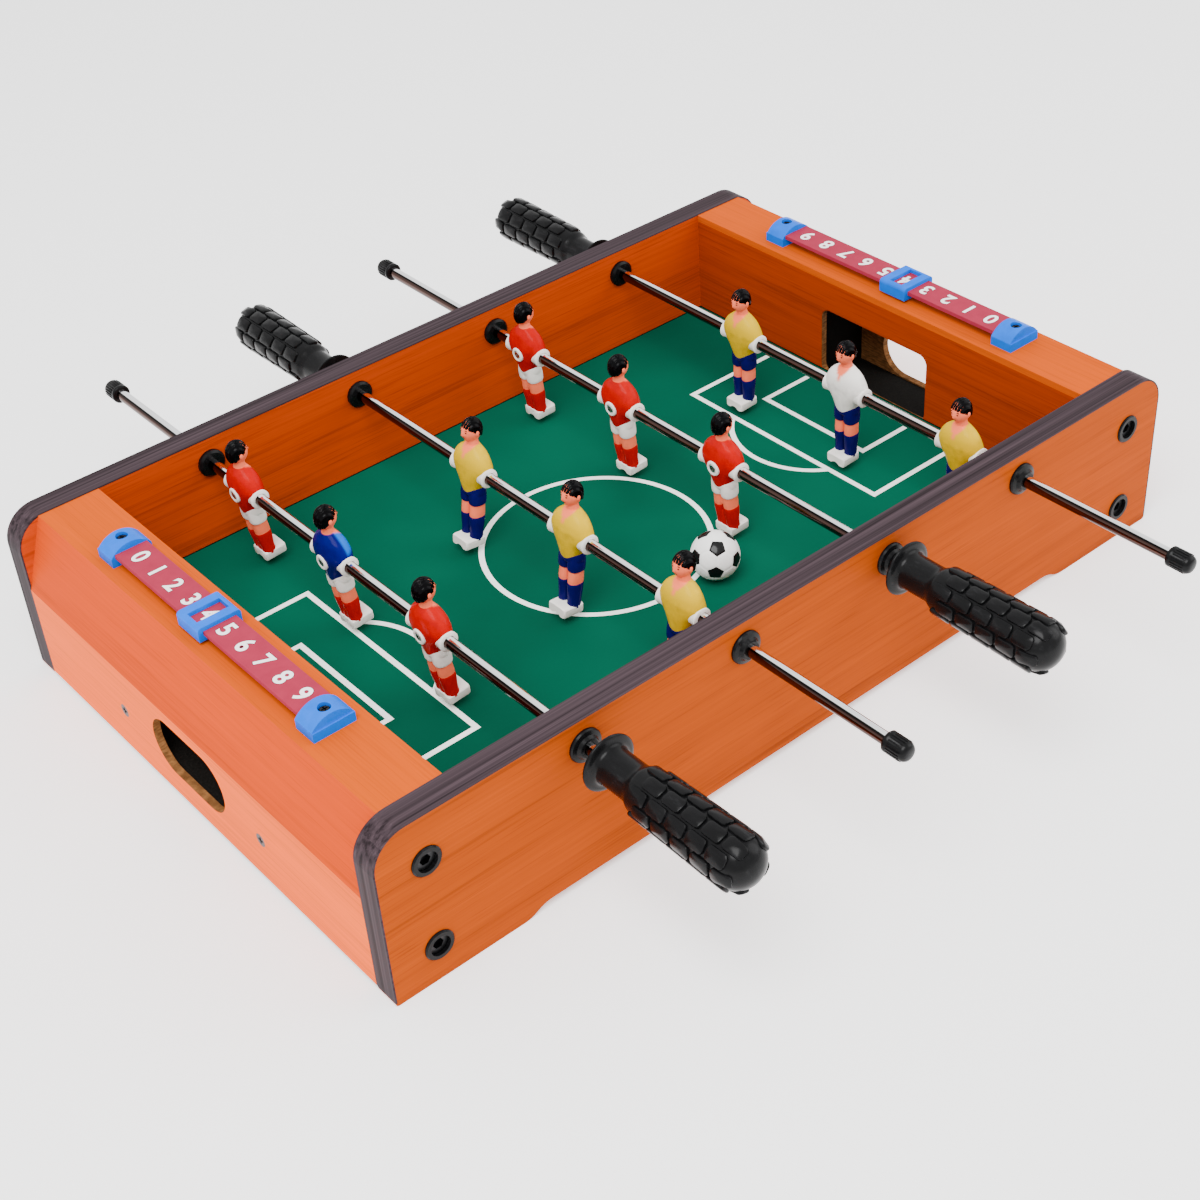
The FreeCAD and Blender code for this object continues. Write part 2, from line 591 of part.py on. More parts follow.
def player_places():
    return [-PLAYER_SPACING, 0.0, PLAYER_SPACING]


def handle():
    """A round moulded grip with a guard flange, a neck and a domed end."""
    neck, grip, big = NECK_DIAMETER / 2, GRIP_DIAMETER / 2, GRIP_END_DIAMETER / 2
    flange, end = FLANGE_DIAMETER / 2, HANDLE_LENGTH
    bore = ROD_RADIUS + ROD_SPIN_CLEARANCE
    dome = GRIP_DOME
    profile = [(0, bore), (0, flange - 0.6), (0.6, flange), (GUARD_THICKNESS - 1.2, flange),
               (GUARD_THICKNESS, flange - 1.8), (GUARD_THICKNESS + 1.4, neck + 1.2),
               (NECK_START, neck), (NECK_END, neck), (GRIP_START - 4.5, neck + 0.9),
               (GRIP_START - 2.5, grip - 0.5), (GRIP_START, grip), (end - dome, big)]
    for i in range(1, DOME_STEPS):
        a = math.radians(90 * i / DOME_STEPS)
        profile.append((end - dome + dome * math.sin(a), big * math.cos(a) ** 0.8))
    profile.append((end, 0))
    profile += [(HANDLE_SOCKET, 0), (HANDLE_SOCKET, bore)]
    return turned(profile, (0, -HANDLE_START, 0), Vector(0, -1, 0))


def end_cap():
    bore, r = ROD_RADIUS + ROD_SPIN_CLEARANCE, CAP_DIAMETER / 2
    profile = [(0, bore), (0, r - 0.5), (0.6, r), (CAP_LENGTH - 1.8, r), (CAP_LENGTH - 0.5, r - 0.9),
               (CAP_LENGTH, r - 2.2), (CAP_LENGTH, 0), (CAP_SOCKET + FIT, 0), (CAP_SOCKET + FIT, bore)]
    return turned(profile, (0, CAP_START, 0), Y)


def player():
    """A moulded player that faces +X, with the rod axis along Y through the origin."""
    torso = Part.makeLoft([ellipse_section(*section) for section in TORSO_SECTIONS], True)
    ankle = ellipse_section(*ANKLE, -PLAYER_FOOT + ANKLE_HEIGHT)
    legs = Part.makeLoft([ellipse_section(*section) for section in LEG_SECTIONS] + [ankle], True)
    foot = box((SHOE_HEEL, -SHOE_HALF_WIDTH, -PLAYER_FOOT),
               (SHOE_TOE, SHOE_HALF_WIDTH, -PLAYER_FOOT + SHOE_HEIGHT))
    foot = rounded_edges(foot, SHOE_RADIUS, lambda e: abs(e.tangentAt(e.FirstParameter).z) > 0.9)
    arch_radius = (SHOE_ARCH_WIDTH ** 2 / 4 + SHOE_ARCH_HEIGHT ** 2) / (2 * SHOE_ARCH_HEIGHT)
    arch_axis = -PLAYER_FOOT + SHOE_ARCH_HEIGHT - arch_radius
    foot = foot.cut(rod(arch_radius, (SHOE_HEEL - 1, 0, arch_axis), X, SHOE_TOE - SHOE_HEEL + 2))
    head = Part.makeSphere(HEAD_HEIGHT / 2)
    squash = FreeCAD.Matrix()
    squash.scale(HEAD_DEPTH_SHARE, HEAD_WIDTH_SHARE, 1.0)
    head = head.transformGeometry(squash)
    head.translate(Vector(HEAD_FORWARD, 0, PLAYER_HEAD - HEAD_HEIGHT / 2))
    neck = Part.makeCone(NECK_ROOT_RADIUS, NECK_TOP_RADIUS, NECK_LENGTH,
                         Vector(0, 0, NECK_ROOT_HEIGHT), Z)
    hub = rod(HUB_DIAMETER / 2, (0, -HUB_LENGTH / 2, 0), Y, HUB_LENGTH)
    boss = rod(SCREW_BOSS_RADIUS, (-SCREW_BOSS_BACK, 0, 0), X, SCREW_BOSS_LENGTH)
    body = torso.fuse([legs, foot, head, neck, hub, boss]).removeSplitter()
    bore = rod(ROD_RADIUS + FIT / 2, (0, -HUB_LENGTH, 0), Y, 2 * HUB_LENGTH)
    screw = player_screw_envelope()
    return body.cut(bore).cut(screw)


def player_screw_envelope():
    """Head recess and shank hole of the clamping screw at the player's back."""
    seat = -SCREW_BOSS_BACK + SCREW_HEAD_THICKNESS
    back = seat - HUB_DIAMETER
    head = rod(PLAYER_SCREW_HEAD / 2 + FIT, (back, 0, 0), X, HUB_DIAMETER)
    return head.fuse(rod(PLAYER_SCREW_DIAMETER / 2 + FIT, (back, 0, 0), X, -back))


def player_screw():
    """The clamping screw, from its head at the boss to the inside of the tube's wall."""
    thickness = SCREW_HEAD_THICKNESS - FIT
    top = -SCREW_BOSS_BACK + FIT
    tip = -ROD_RADIUS + ROD_WALL - top
    head, shank = PLAYER_SCREW_HEAD / 2, PLAYER_SCREW_DIAMETER / 2
    screw = turned([(0, 0), (0, head - 0.5), (0.5, head), (thickness, head), (thickness, shank),
                    (tip, shank), (tip, 0)], (top, 0, 0), X)
    return screw.cut(cross_recess((top, 0, 0), X, PLAYER_SCREW_HEAD))


def build_rods():
    figure, screw, tube, grip, cap = player(), player_screw(), rod_tube(), handle(), end_cap()
    for i, (number, handle_side, gap, facing, tilt) in enumerate(RODS):
        slide = HANDLE_TRAVEL - gap  # away from the handle

        def placed(shape, along=0.0, turn=0.0):
            copy = shape.copy()
            copy.rotate(ORIGIN, Z, turn)
            copy.rotate(ORIGIN, Y, -tilt)
            copy.translate(Vector(rod_x(i), -handle_side * slide + along, ROD_HEIGHT))
            return copy

        turn = 0.0 if handle_side < 0 else 180.0
        face_turn = 0.0 if facing > 0 else 180.0
        prefix = "rod_%d_" % number
        if turn != face_turn:
            raise ValueError("the screw holes of rod %d would face the wrong way" % number)
        save(prefix + "tube", [placed(tube, 0.0, turn)])
        save(prefix + "handle", [placed(grip, 0.0, turn)])
        save(prefix + "cap", [placed(cap, 0.0, turn)])
        for letter, y in zip("abc", player_places()):
            save(prefix + "player_" + letter, [placed(figure, y, face_turn)])
        save(prefix + "player_screws", [placed(screw, y, face_turn) for y in player_places()])


# ---------------------------------------------------------------- score keepers, ball
def bracket_screw_y():
    return BRACKET_START + BRACKET_LENGTH * BRACKET_SCREW_PLACE


def strip_pocket_end():
    return STRIP_LENGTH / 2 + FIT


def bracket():
    """An arched block on the +Y side that holds one end of the score strip above the top board."""
    half, side, rise = BRACKET_WIDTH / 2, BRACKET_SIDE, BRACKET_HEIGHT
    base, centre, y = TOP_BOARD_TOP, STRIP_CENTRE, BRACKET_START
    at = lambda x, z: Vector(centre + x, y, base + z)
    wire = Part.Wire([
        Part.makeLine(at(-half, 0), at(half, 0)), Part.makeLine(at(half, 0), at(half, side)),
        Part.Arc(at(half, side), at(0, rise), at(-half, side)).toShape(),
        Part.makeLine(at(-half, side), at(-half, 0))])
    block = Part.Face(wire).extrude(Vector(0, BRACKET_LENGTH, 0))
    outer = y + BRACKET_LENGTH
    block = block.cut(box((centre - half - 1, outer - BRACKET_LEDGE, base + side),
                          (centre + half + 1, outer + 1, base + rise + 1)))
    pocket = box((centre - STRIP_WIDTH / 2 - FIT, y - 1, STRIP_TOP - STRIP_THICKNESS - FIT / 2),
                 (centre + STRIP_WIDTH / 2 + FIT, strip_pocket_end(), STRIP_TOP + FIT / 2))
    seat = base + rise - BRACKET_SCREW_SINK - SCREW_HEAD_THICKNESS
    head = rod(BRACKET_SCREW_HEAD / 2 + BRACKET_SCREW_ROOM, (centre, bracket_screw_y(), seat), Z, 20)
    shank = rod(BRACKET_SCREW_DIAMETER / 2 + FIT, (centre, bracket_screw_y(), base - 1), Z, 20)
    return block.cut(pocket).cut(head).cut(shank)


def bracket_screw():
    """The pan-head screw that holds a bracket down through the top board."""
    top = TOP_BOARD_TOP + BRACKET_HEIGHT - BRACKET_SCREW_SINK
    tip = top - TOP_BOARD_TOP + BOARD_THICKNESS + BRACKET_SCREW_BITE
    head, shank = BRACKET_SCREW_HEAD / 2, BRACKET_SCREW_DIAMETER / 2
    place = (STRIP_CENTRE, bracket_screw_y(), top)
    down = Vector(0, 0, -1)
    screw = turned([(0, 0), (0, head - 0.7), (0.6, head), (SCREW_HEAD_THICKNESS, head),
                    (SCREW_HEAD_THICKNESS, shank), (tip - BRACKET_SCREW_POINT, shank), (tip, 0)],
                   place, down)
    return screw.cut(cross_recess(place, down, BRACKET_SCREW_HEAD))


def marker():
    """The sliding score window of end B, wrapped round the strip, over the digit shown."""
    centre_y = DIGIT_SHOWN * DIGIT_PITCH - LAST_DIGIT_Y
    half, roof = MARKER_WIDTH / 2, STRIP_TOP + MARKER_CLEARANCE + MARKER_ROOF
    low_y, high_y = centre_y - MARKER_LENGTH / 2, centre_y + MARKER_LENGTH / 2
    body = box((STRIP_CENTRE - half, low_y, MARKER_FLOOR), (STRIP_CENTRE + half, high_y, roof))
    body = rounded_edges(body, MARKER_ROUNDING, lambda e: e.CenterOfMass.z > roof - 0.01
                         and abs(e.tangentAt(e.FirstParameter).y) > 0.9)
    gap = STRIP_WIDTH / 2 + MARKER_CLEARANCE
    channel = box((STRIP_CENTRE - gap, low_y - 1, STRIP_TOP - STRIP_THICKNESS - MARKER_CLEARANCE),
                  (STRIP_CENTRE + gap, high_y + 1, STRIP_TOP + MARKER_CLEARANCE))
    slit = box((STRIP_CENTRE - gap + MARKER_LIP, low_y - 1, 0),
               (STRIP_CENTRE + gap - MARKER_LIP, high_y + 1, STRIP_TOP))
    pane_x, pane_y = MARKER_WINDOW_WIDTH / 2, MARKER_WINDOW_LENGTH / 2
    pane = box((STRIP_CENTRE - pane_x, centre_y - pane_y, STRIP_TOP),
               (STRIP_CENTRE + pane_x, centre_y + pane_y, roof + 1))
    return body.cut(channel).cut(slit).cut(pane)


def build_score_keepers():
    strip = box((STRIP_CENTRE - STRIP_WIDTH / 2, -STRIP_LENGTH / 2, STRIP_TOP - STRIP_THICKNESS),
                (STRIP_CENTRE + STRIP_WIDTH / 2, STRIP_LENGTH / 2, STRIP_TOP))
    window = marker()
    pair = [bracket(), bracket().mirror(ORIGIN, Y)]
    screws = [bracket_screw(), bracket_screw().mirror(ORIGIN, Y)]
    for name, end in ENDS:
        save("score_strip_" + name, [mirrored(strip, end)])
        save("score_marker_" + name, [mirrored(window, end)])
    save("strip_brackets", [mirrored(b, end) for _, end in ENDS for b in pair])
    save("bracket_screws", [mirrored(s, end) for _, end in ENDS for s in screws])


def build_ball():
    radius = BALL_DIAMETER / 2
    centre = Vector(rod_x(2) - BALL_FROM_ROD, BALL_Y, PITCH_TOP + BALL_GAP + radius)
    save("ball", [Part.makeSphere(radius, centre)])


def main():
    os.makedirs("parts", exist_ok=True)
    build_side_panels()
    build_playfield_and_ends()
    build_panel_bolts()
    build_bushes()
    build_rods()
    build_score_keepers()
    build_ball()


main()
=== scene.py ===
import math

import bmesh
import bpy
from bpy.props import FloatProperty, FloatVectorProperty, IntProperty, PointerProperty
from bpy.types import Operator, Panel, PropertyGroup
from mathutils import Matrix, Vector


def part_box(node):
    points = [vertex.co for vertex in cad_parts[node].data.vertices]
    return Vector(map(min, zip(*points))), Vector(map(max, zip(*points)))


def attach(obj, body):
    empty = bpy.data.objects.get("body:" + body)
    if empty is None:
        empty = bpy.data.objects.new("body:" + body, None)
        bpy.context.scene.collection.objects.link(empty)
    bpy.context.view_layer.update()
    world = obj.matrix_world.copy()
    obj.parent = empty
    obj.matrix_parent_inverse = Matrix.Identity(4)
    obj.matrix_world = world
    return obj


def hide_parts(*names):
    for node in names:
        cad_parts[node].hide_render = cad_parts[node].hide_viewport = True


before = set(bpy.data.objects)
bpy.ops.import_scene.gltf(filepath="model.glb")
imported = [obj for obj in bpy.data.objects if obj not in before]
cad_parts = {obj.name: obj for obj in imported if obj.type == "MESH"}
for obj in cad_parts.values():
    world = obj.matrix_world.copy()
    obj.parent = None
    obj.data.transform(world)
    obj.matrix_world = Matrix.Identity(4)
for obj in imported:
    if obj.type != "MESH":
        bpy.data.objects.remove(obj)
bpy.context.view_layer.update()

bl_info = {
    "name": "Foosball table",
    "version": (1, 0, 0),
    "blender": (4, 5, 0),
    "location": "View3D > Sidebar > Foosball",
    "description": "Dresses a packed tabletop foosball table with its finishes and moulded pieces",
    "category": "Object",
}

MM = 0.001
RODS = (1, 2, 3, 4)
ENDS = ("a", "b")
PLAYERS = ("a", "b", "c")
DIGITS = 10
PAINT_IOR, MOULDING_IOR = 1.3, 1.45
COAT_ROUGHNESS = 0.12
MIX_COLOURS, MIX_RESULT = (6, 7), 2  # the colour sockets of a Mix node
# Black put on the goals' raw tray and cheeks as painted shade inside the goals.
GOAL_SHADE_BLACK = (20, 18, 16)


# ------------------------------------------------------------------ colours and property helpers
def paint(red, green, blue):
    """A linear colour from the 0-255 values of a paint chart."""
    def linear(value):
        value /= 255
        return value / 12.92 if value <= 0.04045 else ((value + 0.055) / 1.055) ** 2.4
    return linear(red), linear(green), linear(blue)


def colour(name, description, chart):
    return FloatVectorProperty(name=name, description=description, default=paint(*chart),
                               subtype="COLOR", size=3, min=0.0, max=1.0)


def length(name, description, millimetres):
    return FloatProperty(name=name, description=description, default=millimetres * MM,
                         unit="LENGTH", subtype="DISTANCE")


def share(name, description, value):
    return FloatProperty(name=name, description=description, default=value, min=0.0, max=1.0,
                         subtype="FACTOR")


def shaded(tone, amount):
    """A colour made darker (below 1) or lighter (above 1)."""
    return tuple(min(1.0, channel * amount) for channel in tone)


# ------------------------------------------------------------------ what a user may change
class CabinetSettings(PropertyGroup):
    laminate: colour("Side laminate", "Outer face of the long side panels", (156, 63, 3))
    # Painted shade and bounced light: the inner colour is the side laminate, a deeper orange inside the
    # table.
    inner: colour("Inner laminate", "Inner faces of the panels and the goal walls", (176, 58, 2))
    top: colour("Top boards", "Flat boards over the two ends", (192, 76, 1))
    slope: colour("Sloped boards", "Leaning boards at the two ends", (196, 64, 1))
    end: colour("End boards", "Upright boards with the ball return holes", (240, 94, 4))
    raw: colour("Raw board", "Cut edges and hidden blocks", (112, 74, 42))
    band: colour("Edge tape", "Streaked tape on the panels' edges", (52, 42, 46))
    pitch: colour("Pitch", "The printed playing surface", (0, 79, 59))
    lines: colour("Pitch lines", "The printed markings", (248, 252, 248))
    # Painted shade: width of the near-black line where the pitch meets the walls.
    seam: length("Edge shadow", "Width of the dark line at the pitch's edge", 1.0)


class MarkingSettings(PropertyGroup):
    width: length("Line width", "Width of the printed lines", 3.1)
    shift: length("Print shift", "How far the print lies towards goal A", 3.75)
    circle: length("Centre circle", "Radius of the centre circle", 61.5)
    penalty_line: length("Penalty line", "From the print's middle to each penalty line", 136.25)
    penalty_half: length("Penalty box", "Half the width of each penalty box", 73.0)
    goal_line: length("Goal box line", "From the print's middle to each goal box's line", 162.75)
    goal_half: length("Goal box", "Half the width of each goal box", 39.0)
    stop: length("Line end", "From the table's middle to where the box lines stop", 193.5)
    arc_half: length("Arc half width", "Half the chord of each penalty arc", 38.5)
    arc_depth: length("Arc depth", "How far each penalty arc reaches towards the middle", 20.5)
    height: length("Print height", "How far the print stands off the board", 0.06)


class PlayerSettings(PropertyGroup):
    skin: colour("Skin", "Moulded skin colour", (250, 116, 80))
    hair: colour("Hair", "Painted hair", (4, 4, 5))
    red: colour("Red shirt", "Shirts and socks of the red team", (176, 0, 2))
    yellow: colour("Yellow shirt", "Shirts of the yellow team", (206, 168, 0))
    navy: colour("Navy", "Shorts and socks of the yellow team", (16, 6, 80))
    blue: colour("Keeper blue", "Shirt of the red team's keeper", (12, 6, 96))
    sky: colour("Keeper shoulder", "Light shoulder of the red team's keeper", (0, 96, 198))
    white: colour("White plastic", "Bare moulding: hubs, shorts and shoes", (236, 232, 226))
    hem: length("Shirt hem", "How far the hem dips at the front and back", 2.6)
    ridges: IntProperty(name="Hair ridges", description="Combed ridges across the hair", default=7,
                        min=3, max=20)
    ridge_depth: length("Ridge depth", "Depth of the combed ridges", 0.22)


class GripSettings(PropertyGroup):
    black: colour("Black plastic", "Grips, bushes and end caps", (14, 14, 15))
    columns: IntProperty(name="Pad columns", description="Columns of pads round a grip", default=10,
                         min=4, max=24)
    rows: IntProperty(name="Pad rows", description="Pads in each column", default=5, min=1, max=10)
    pitch: length("Pad pitch", "From one pad to the next along the grip", 12.2)
    groove: length("Groove", "Gap between two pads", 1.3)
    depth: length("Groove depth", "How far the pads stand off the core", 1.4)
    ribs: IntProperty(name="Cap ribs", description="Fine ribs round an end cap", default=20, min=6,
                      max=48)


class ScorerSettings(PropertyGroup):
    blue: colour("Blue plastic", "Brackets and sliding windows", (0, 98, 214))
    strip: colour("Strip", "Score strips", (150, 42, 64))
    digit: colour("Digits", "Printed numerals", (252, 246, 246))
    outline: colour("Digit outline", "Thin dark edge of the numerals", (60, 8, 18))
    size: length("Digit size", "Letter size of the numerals", 13.0)
    pitch: length("Digit pitch", "From one numeral to the next", 15.65)
    weight: length("Digit weight", "How far the numerals are thickened", 0.36)
    edge: length("Outline width", "How far the outline shows round a numeral", 0.24)


class BallSettings(PropertyGroup):
    white: colour("White panels", "Hexagons of the ball", (246, 246, 244))
    black: colour("Black panels", "Pentagons of the ball", (14, 14, 15))
    seam: length("Seam depth", "How deep the seams between panels are", 0.28)
    flatness: share("Flatness", "How flat the panels are, from a true sphere at 0", 0.35)


class StageSettings(PropertyGroup):
    floor: colour("Floor", "The floor under the table", (246, 246, 246))
    lens: FloatProperty(name="Lens", description="Focal length in millimetres", default=59.56)
    key: FloatProperty(name="Key light", description="Power of the main light", default=36.0,
                       unit="POWER")
    fill: FloatProperty(name="Fill light", description="Power of the softer light", default=14.0,
                        unit="POWER")
    glow: FloatProperty(name="Floor glow", description="How much the floor shines of itself", default=0.7)
    sky: FloatProperty(name="Sky", description="Strength of the even light from all round",
                       default=1.6)


# ------------------------------------------------------------------ finishes
class Finish:
    """A procedural material: one Principled shader and the nodes that vary its colour and relief."""

    def __init__(self, name, roughness, metallic=0.0, coat=0.0, shine=0.25):
        self.material = bpy.data.materials.new(name)
        self.material.use_nodes = True
        self.tree = self.material.node_tree
        self.shader = self.tree.nodes["Principled BSDF"]
        self.shader.inputs["Roughness"].default_value = roughness
        self.shader.inputs["Metallic"].default_value = metallic
        self.shader.inputs["Coat Weight"].default_value = coat
        self.shader.inputs["Specular IOR Level"].default_value = shine
        self.shader.inputs["IOR"].default_value = PAINT_IOR
        self.shader.inputs["Coat Roughness"].default_value = COAT_ROUGHNESS
        self.place = self.tree.nodes.new("ShaderNodeTexCoord").outputs["Object"]

    def link(self, output, socket):
        self.tree.links.new(output, socket)

    def noise(self, per_metre, detail=3.0, roughness=0.55):
        """Noise with so many grains per metre along X, Y and Z."""
        mapping = self.tree.nodes.new("ShaderNodeMapping")
        mapping.inputs["Scale"].default_value = per_metre
        node = self.tree.nodes.new("ShaderNodeTexNoise")
        node.inputs["Scale"].default_value = 1.0
        node.inputs["Detail"].default_value = detail
        node.inputs["Roughness"].default_value = roughness
        self.link(self.place, mapping.inputs["Vector"])
        self.link(mapping.outputs["Vector"], node.inputs["Vector"])
        return node.outputs["Fac"]

    def math(self, operation, first, second):
        node = self.tree.nodes.new("ShaderNodeMath")
        node.operation = operation
        for socket, value in zip(node.inputs, (first, second)):
            if isinstance(value, (int, float)):
                socket.default_value = value
            else:
                self.link(value, socket)
        return node.outputs["Value"]

    def tones(self, factor, stops):
        """A colour ramp through (place, colour) stops."""
        ramp = self.tree.nodes.new("ShaderNodeValToRGB")
        elements = ramp.color_ramp.elements
        while len(elements) < len(stops):
            elements.new(0.5)
        for element, (place, tone) in zip(elements, stops):
            element.position = place
            element.color = (*tone, 1.0)
        self.link(factor, ramp.inputs["Fac"])
        return ramp.outputs["Color"]

    def mixed(self, factor, first, second):
        node = self.tree.nodes.new("ShaderNodeMix")
        node.data_type = "RGBA"
        self.link(factor, node.inputs["Factor"])
        for place, tone in zip(MIX_COLOURS, (first, second)):
            socket = node.inputs[place]
            if isinstance(tone, tuple):
                socket.default_value = (*tone, 1.0)
            else:
                self.link(tone, socket)
        return node.outputs[MIX_RESULT]

    def beyond(self, axis, limit, source=None):
        """1 where the distance from the middle plane along axis is over limit, else 0."""
        split = self.tree.nodes.new("ShaderNodeSeparateXYZ")
        self.link(source or self.place, split.inputs["Vector"])
        distance = self.math("ABSOLUTE", split.outputs[axis], 0.0)
        return self.math("GREATER_THAN", distance, limit)

    def facing(self, axis, limit):
        """1 where the surface faces along axis, so cut edges across it give 0."""
        normal = self.tree.nodes.new("ShaderNodeNewGeometry").outputs["Normal"]
        return self.beyond(axis, limit, normal)

    def outward(self):
        """1 where an end board's face looks away from the table's middle, along X."""
        parts = []
        for source in (self.tree.nodes.new("ShaderNodeNewGeometry").outputs["Normal"], self.place):
            split = self.tree.nodes.new("ShaderNodeSeparateXYZ")
            self.link(source, split.inputs["Vector"])
            parts.append(split.outputs[0])
        return self.math("GREATER_THAN", self.math("MULTIPLY", parts[0], parts[1]), 0.12)

    def attribute(self, name):
        node = self.tree.nodes.new("ShaderNodeAttribute")
        node.attribute_name = name
        return node.outputs["Fac"]

    def relief(self, height, depth_mm, strength):
        bump = self.tree.nodes.new("ShaderNodeBump")
        bump.inputs["Strength"].default_value = strength
        bump.inputs["Distance"].default_value = depth_mm * MM
        self.link(height, bump.inputs["Height"])
        self.link(bump.outputs["Normal"], self.shader.inputs["Normal"])

    def done(self, tone):
        self.link(tone, self.shader.inputs["Base Color"])
        return self.material


def grain_tones(finish, tone, along, strength=1.0):
    """Printed wood grain: broad figure and fine dark pores, drawn out along one axis."""
    def drawn(lengthwise, across):
        return tuple(lengthwise if axis == along else across for axis in range(3))

    broad = finish.noise(drawn(3.0, 60.0), detail=4.0, roughness=0.6)
    fine = finish.noise(drawn(9.0, 620.0), detail=2.0)
    pores = finish.noise(drawn(26.0, 1500.0), detail=1.0)
    figure = finish.math("ADD", finish.math("MULTIPLY", broad, 0.5),
                         finish.math("MULTIPLY", fine, 0.5))
    body = finish.tones(figure, ((0.30, shaded(tone, 1 - 0.36 * strength)), (0.47, tone),
                                 (0.62, shaded(tone, 1 + 0.12 * strength)),
                                 (0.74, shaded(tone, 1 + 0.30 * strength))))
    marks = finish.tones(pores, ((0.60, (0, 0, 0)), (0.70, (1, 1, 1))))
    split = finish.math("MULTIPLY", marks, 0.45 * strength)
    return finish.mixed(split, body, shaded(tone, 0.52)), pores


def wood(name, tone, along, strength=1.0, raw=None, outside_only=False):
    """A laminate board. Where raw is given, faces that don't look along X are cut edges.

    With outside_only, the face towards the middle of the table is bare board too.
    """
    finish = Finish(name, 0.42, shine=0.04)
    face, pores = grain_tones(finish, tone, along, strength)
    finish.relief(pores, 0.05, 0.35)
    if raw:
        fibre = finish.noise((240.0, 240.0, 900.0), detail=4.0)
        edge = finish.tones(fibre, ((0.3, shaded(raw, 0.55)), (0.5, raw), (0.7, shaded(raw, 1.7))))
        printed = finish.outward() if outside_only else finish.facing(0, 0.5)
        face = finish.mixed(printed, edge, face)
    return finish.done(face)


def side_laminate(settings):
    """Two faces of one laminate: the paler outside as printed, the deeper inside with painted shade and
    bounced light.
    """
    outer_y = (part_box("side_panel_far")[0].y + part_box("side_panel_far")[1].y) / 2
    finish = Finish("side_laminate", 0.42, shine=0.04)
    outside, pores = grain_tones(finish, tuple(settings.laminate), 0)
    # Painted shade and bounced light: the inside is the inner colour, with a slightly stronger grain.
    shaded_inside, _ = grain_tones(finish, tuple(settings.inner), 0, 1.1)
    finish.relief(pores, 0.05, 0.35)
    return finish.done(finish.mixed(finish.beyond(1, outer_y), shaded_inside, outside))


def raw_board(name, tone):
    finish = Finish(name, 0.85, shine=0.1)
    fibre = finish.noise((900.0, 900.0, 2200.0), detail=5.0, roughness=0.7)
    finish.relief(fibre, 0.2, 0.6)
    return finish.done(finish.tones(fibre, ((0.32, shaded(tone, 0.5)), (0.5, tone),
                                            (0.7, shaded(tone, 1.6)))))


def edge_tape(tone):
    """Streaked tape: the streaks run along the top edge and turn to run up the ends."""
    finish = Finish("edge_tape", 0.5, shine=0.08)
    along = finish.noise((3.0, 480.0, 480.0), detail=3.0, roughness=0.65)
    upright = finish.noise((480.0, 480.0, 3.0), detail=3.0, roughness=0.65)
    streaks = finish.mixed(finish.facing(0, 0.7), along, upright)
    finish.relief(streaks, 0.08, 0.5)
    return finish.done(finish.tones(streaks, ((0.36, shaded(tone, 0.45)), (0.48, tone),
                                              (0.60, shaded(tone, 1.35)), (0.72, shaded(tone, 1.9)))))


def pitch_print(settings):
    """The green board, mottled, with a painted shade line where it meets the walls."""
    low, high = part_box("playfield_board")
    inner_y = -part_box("side_panel_near")[1].y
    tone = tuple(settings.pitch)
    finish = Finish("pitch_print", 0.5, shine=0.02)
    cloud = finish.noise((9.0, 9.0, 9.0), detail=2.0)
    weave = finish.noise((1400.0, 1400.0, 1400.0), detail=2.0)
    finish.relief(weave, 0.04, 0.35)
    mottled = finish.tones(cloud, ((0.32, shaded(tone, 0.78)), (0.52, tone), (0.70, shaded(tone, 1.16))))
    speckled = finish.mixed(finish.math("MULTIPLY", weave, 0.18), mottled, shaded(tone, 0.55))
    # Painted shade: a near-black line along the walls where the board meets them.
    painted_wall_shade = finish.math("MAXIMUM", finish.beyond(1, inner_y - settings.seam),
                        finish.beyond(0, high.x - settings.seam))
    return finish.done(finish.mixed(painted_wall_shade, speckled, shaded(tone, 0.06)))


def plastic(name, tone, roughness=0.3, coat=0.0, variation=0.12, shine=0.12):
    """Moulded plastic: a faint cloudiness in the colour and a slightly uneven skin."""
    finish = Finish(name, roughness, coat=coat, shine=shine)
    cloud = finish.noise((160.0, 160.0, 160.0), detail=3.0)
    skin = finish.noise((900.0, 900.0, 900.0), detail=2.0)
    finish.relief(skin, 0.03, 0.3)
    return finish.done(finish.tones(cloud, ((0.3, shaded(tone, 1 - variation)), (0.5, tone),
                                            (0.7, shaded(tone, 1 + variation)))))


def black_plastic(tone):
    """Glossy black moulding with fine scuffs that catch the light."""
    finish = Finish("black_moulding", 0.24, shine=0.13)
    finish.shader.inputs["IOR"].default_value = MOULDING_IOR
    scuffs = finish.noise((260.0, 70.0, 260.0), detail=5.0, roughness=0.7)
    finish.relief(finish.noise((1300.0, 1300.0, 1300.0)), 0.05, 0.4)
    return finish.done(finish.tones(scuffs, ((0.42, shaded(tone, 0.7)), (0.58, tone),
                                             (0.76, shaded(tone, 3.2)))))


def metal(name, tone, roughness, depth_mm):
    """Bright or dark metal for the fixings, finely pitted all over."""
    finish = Finish(name, roughness, metallic=1.0)
    pits = finish.noise((900.0, 900.0, 900.0), detail=3.0)
    finish.relief(pits, depth_mm, 0.25)
    return finish.done(finish.tones(pits, ((0.35, shaded(tone, 0.82)), (0.65, tone))))


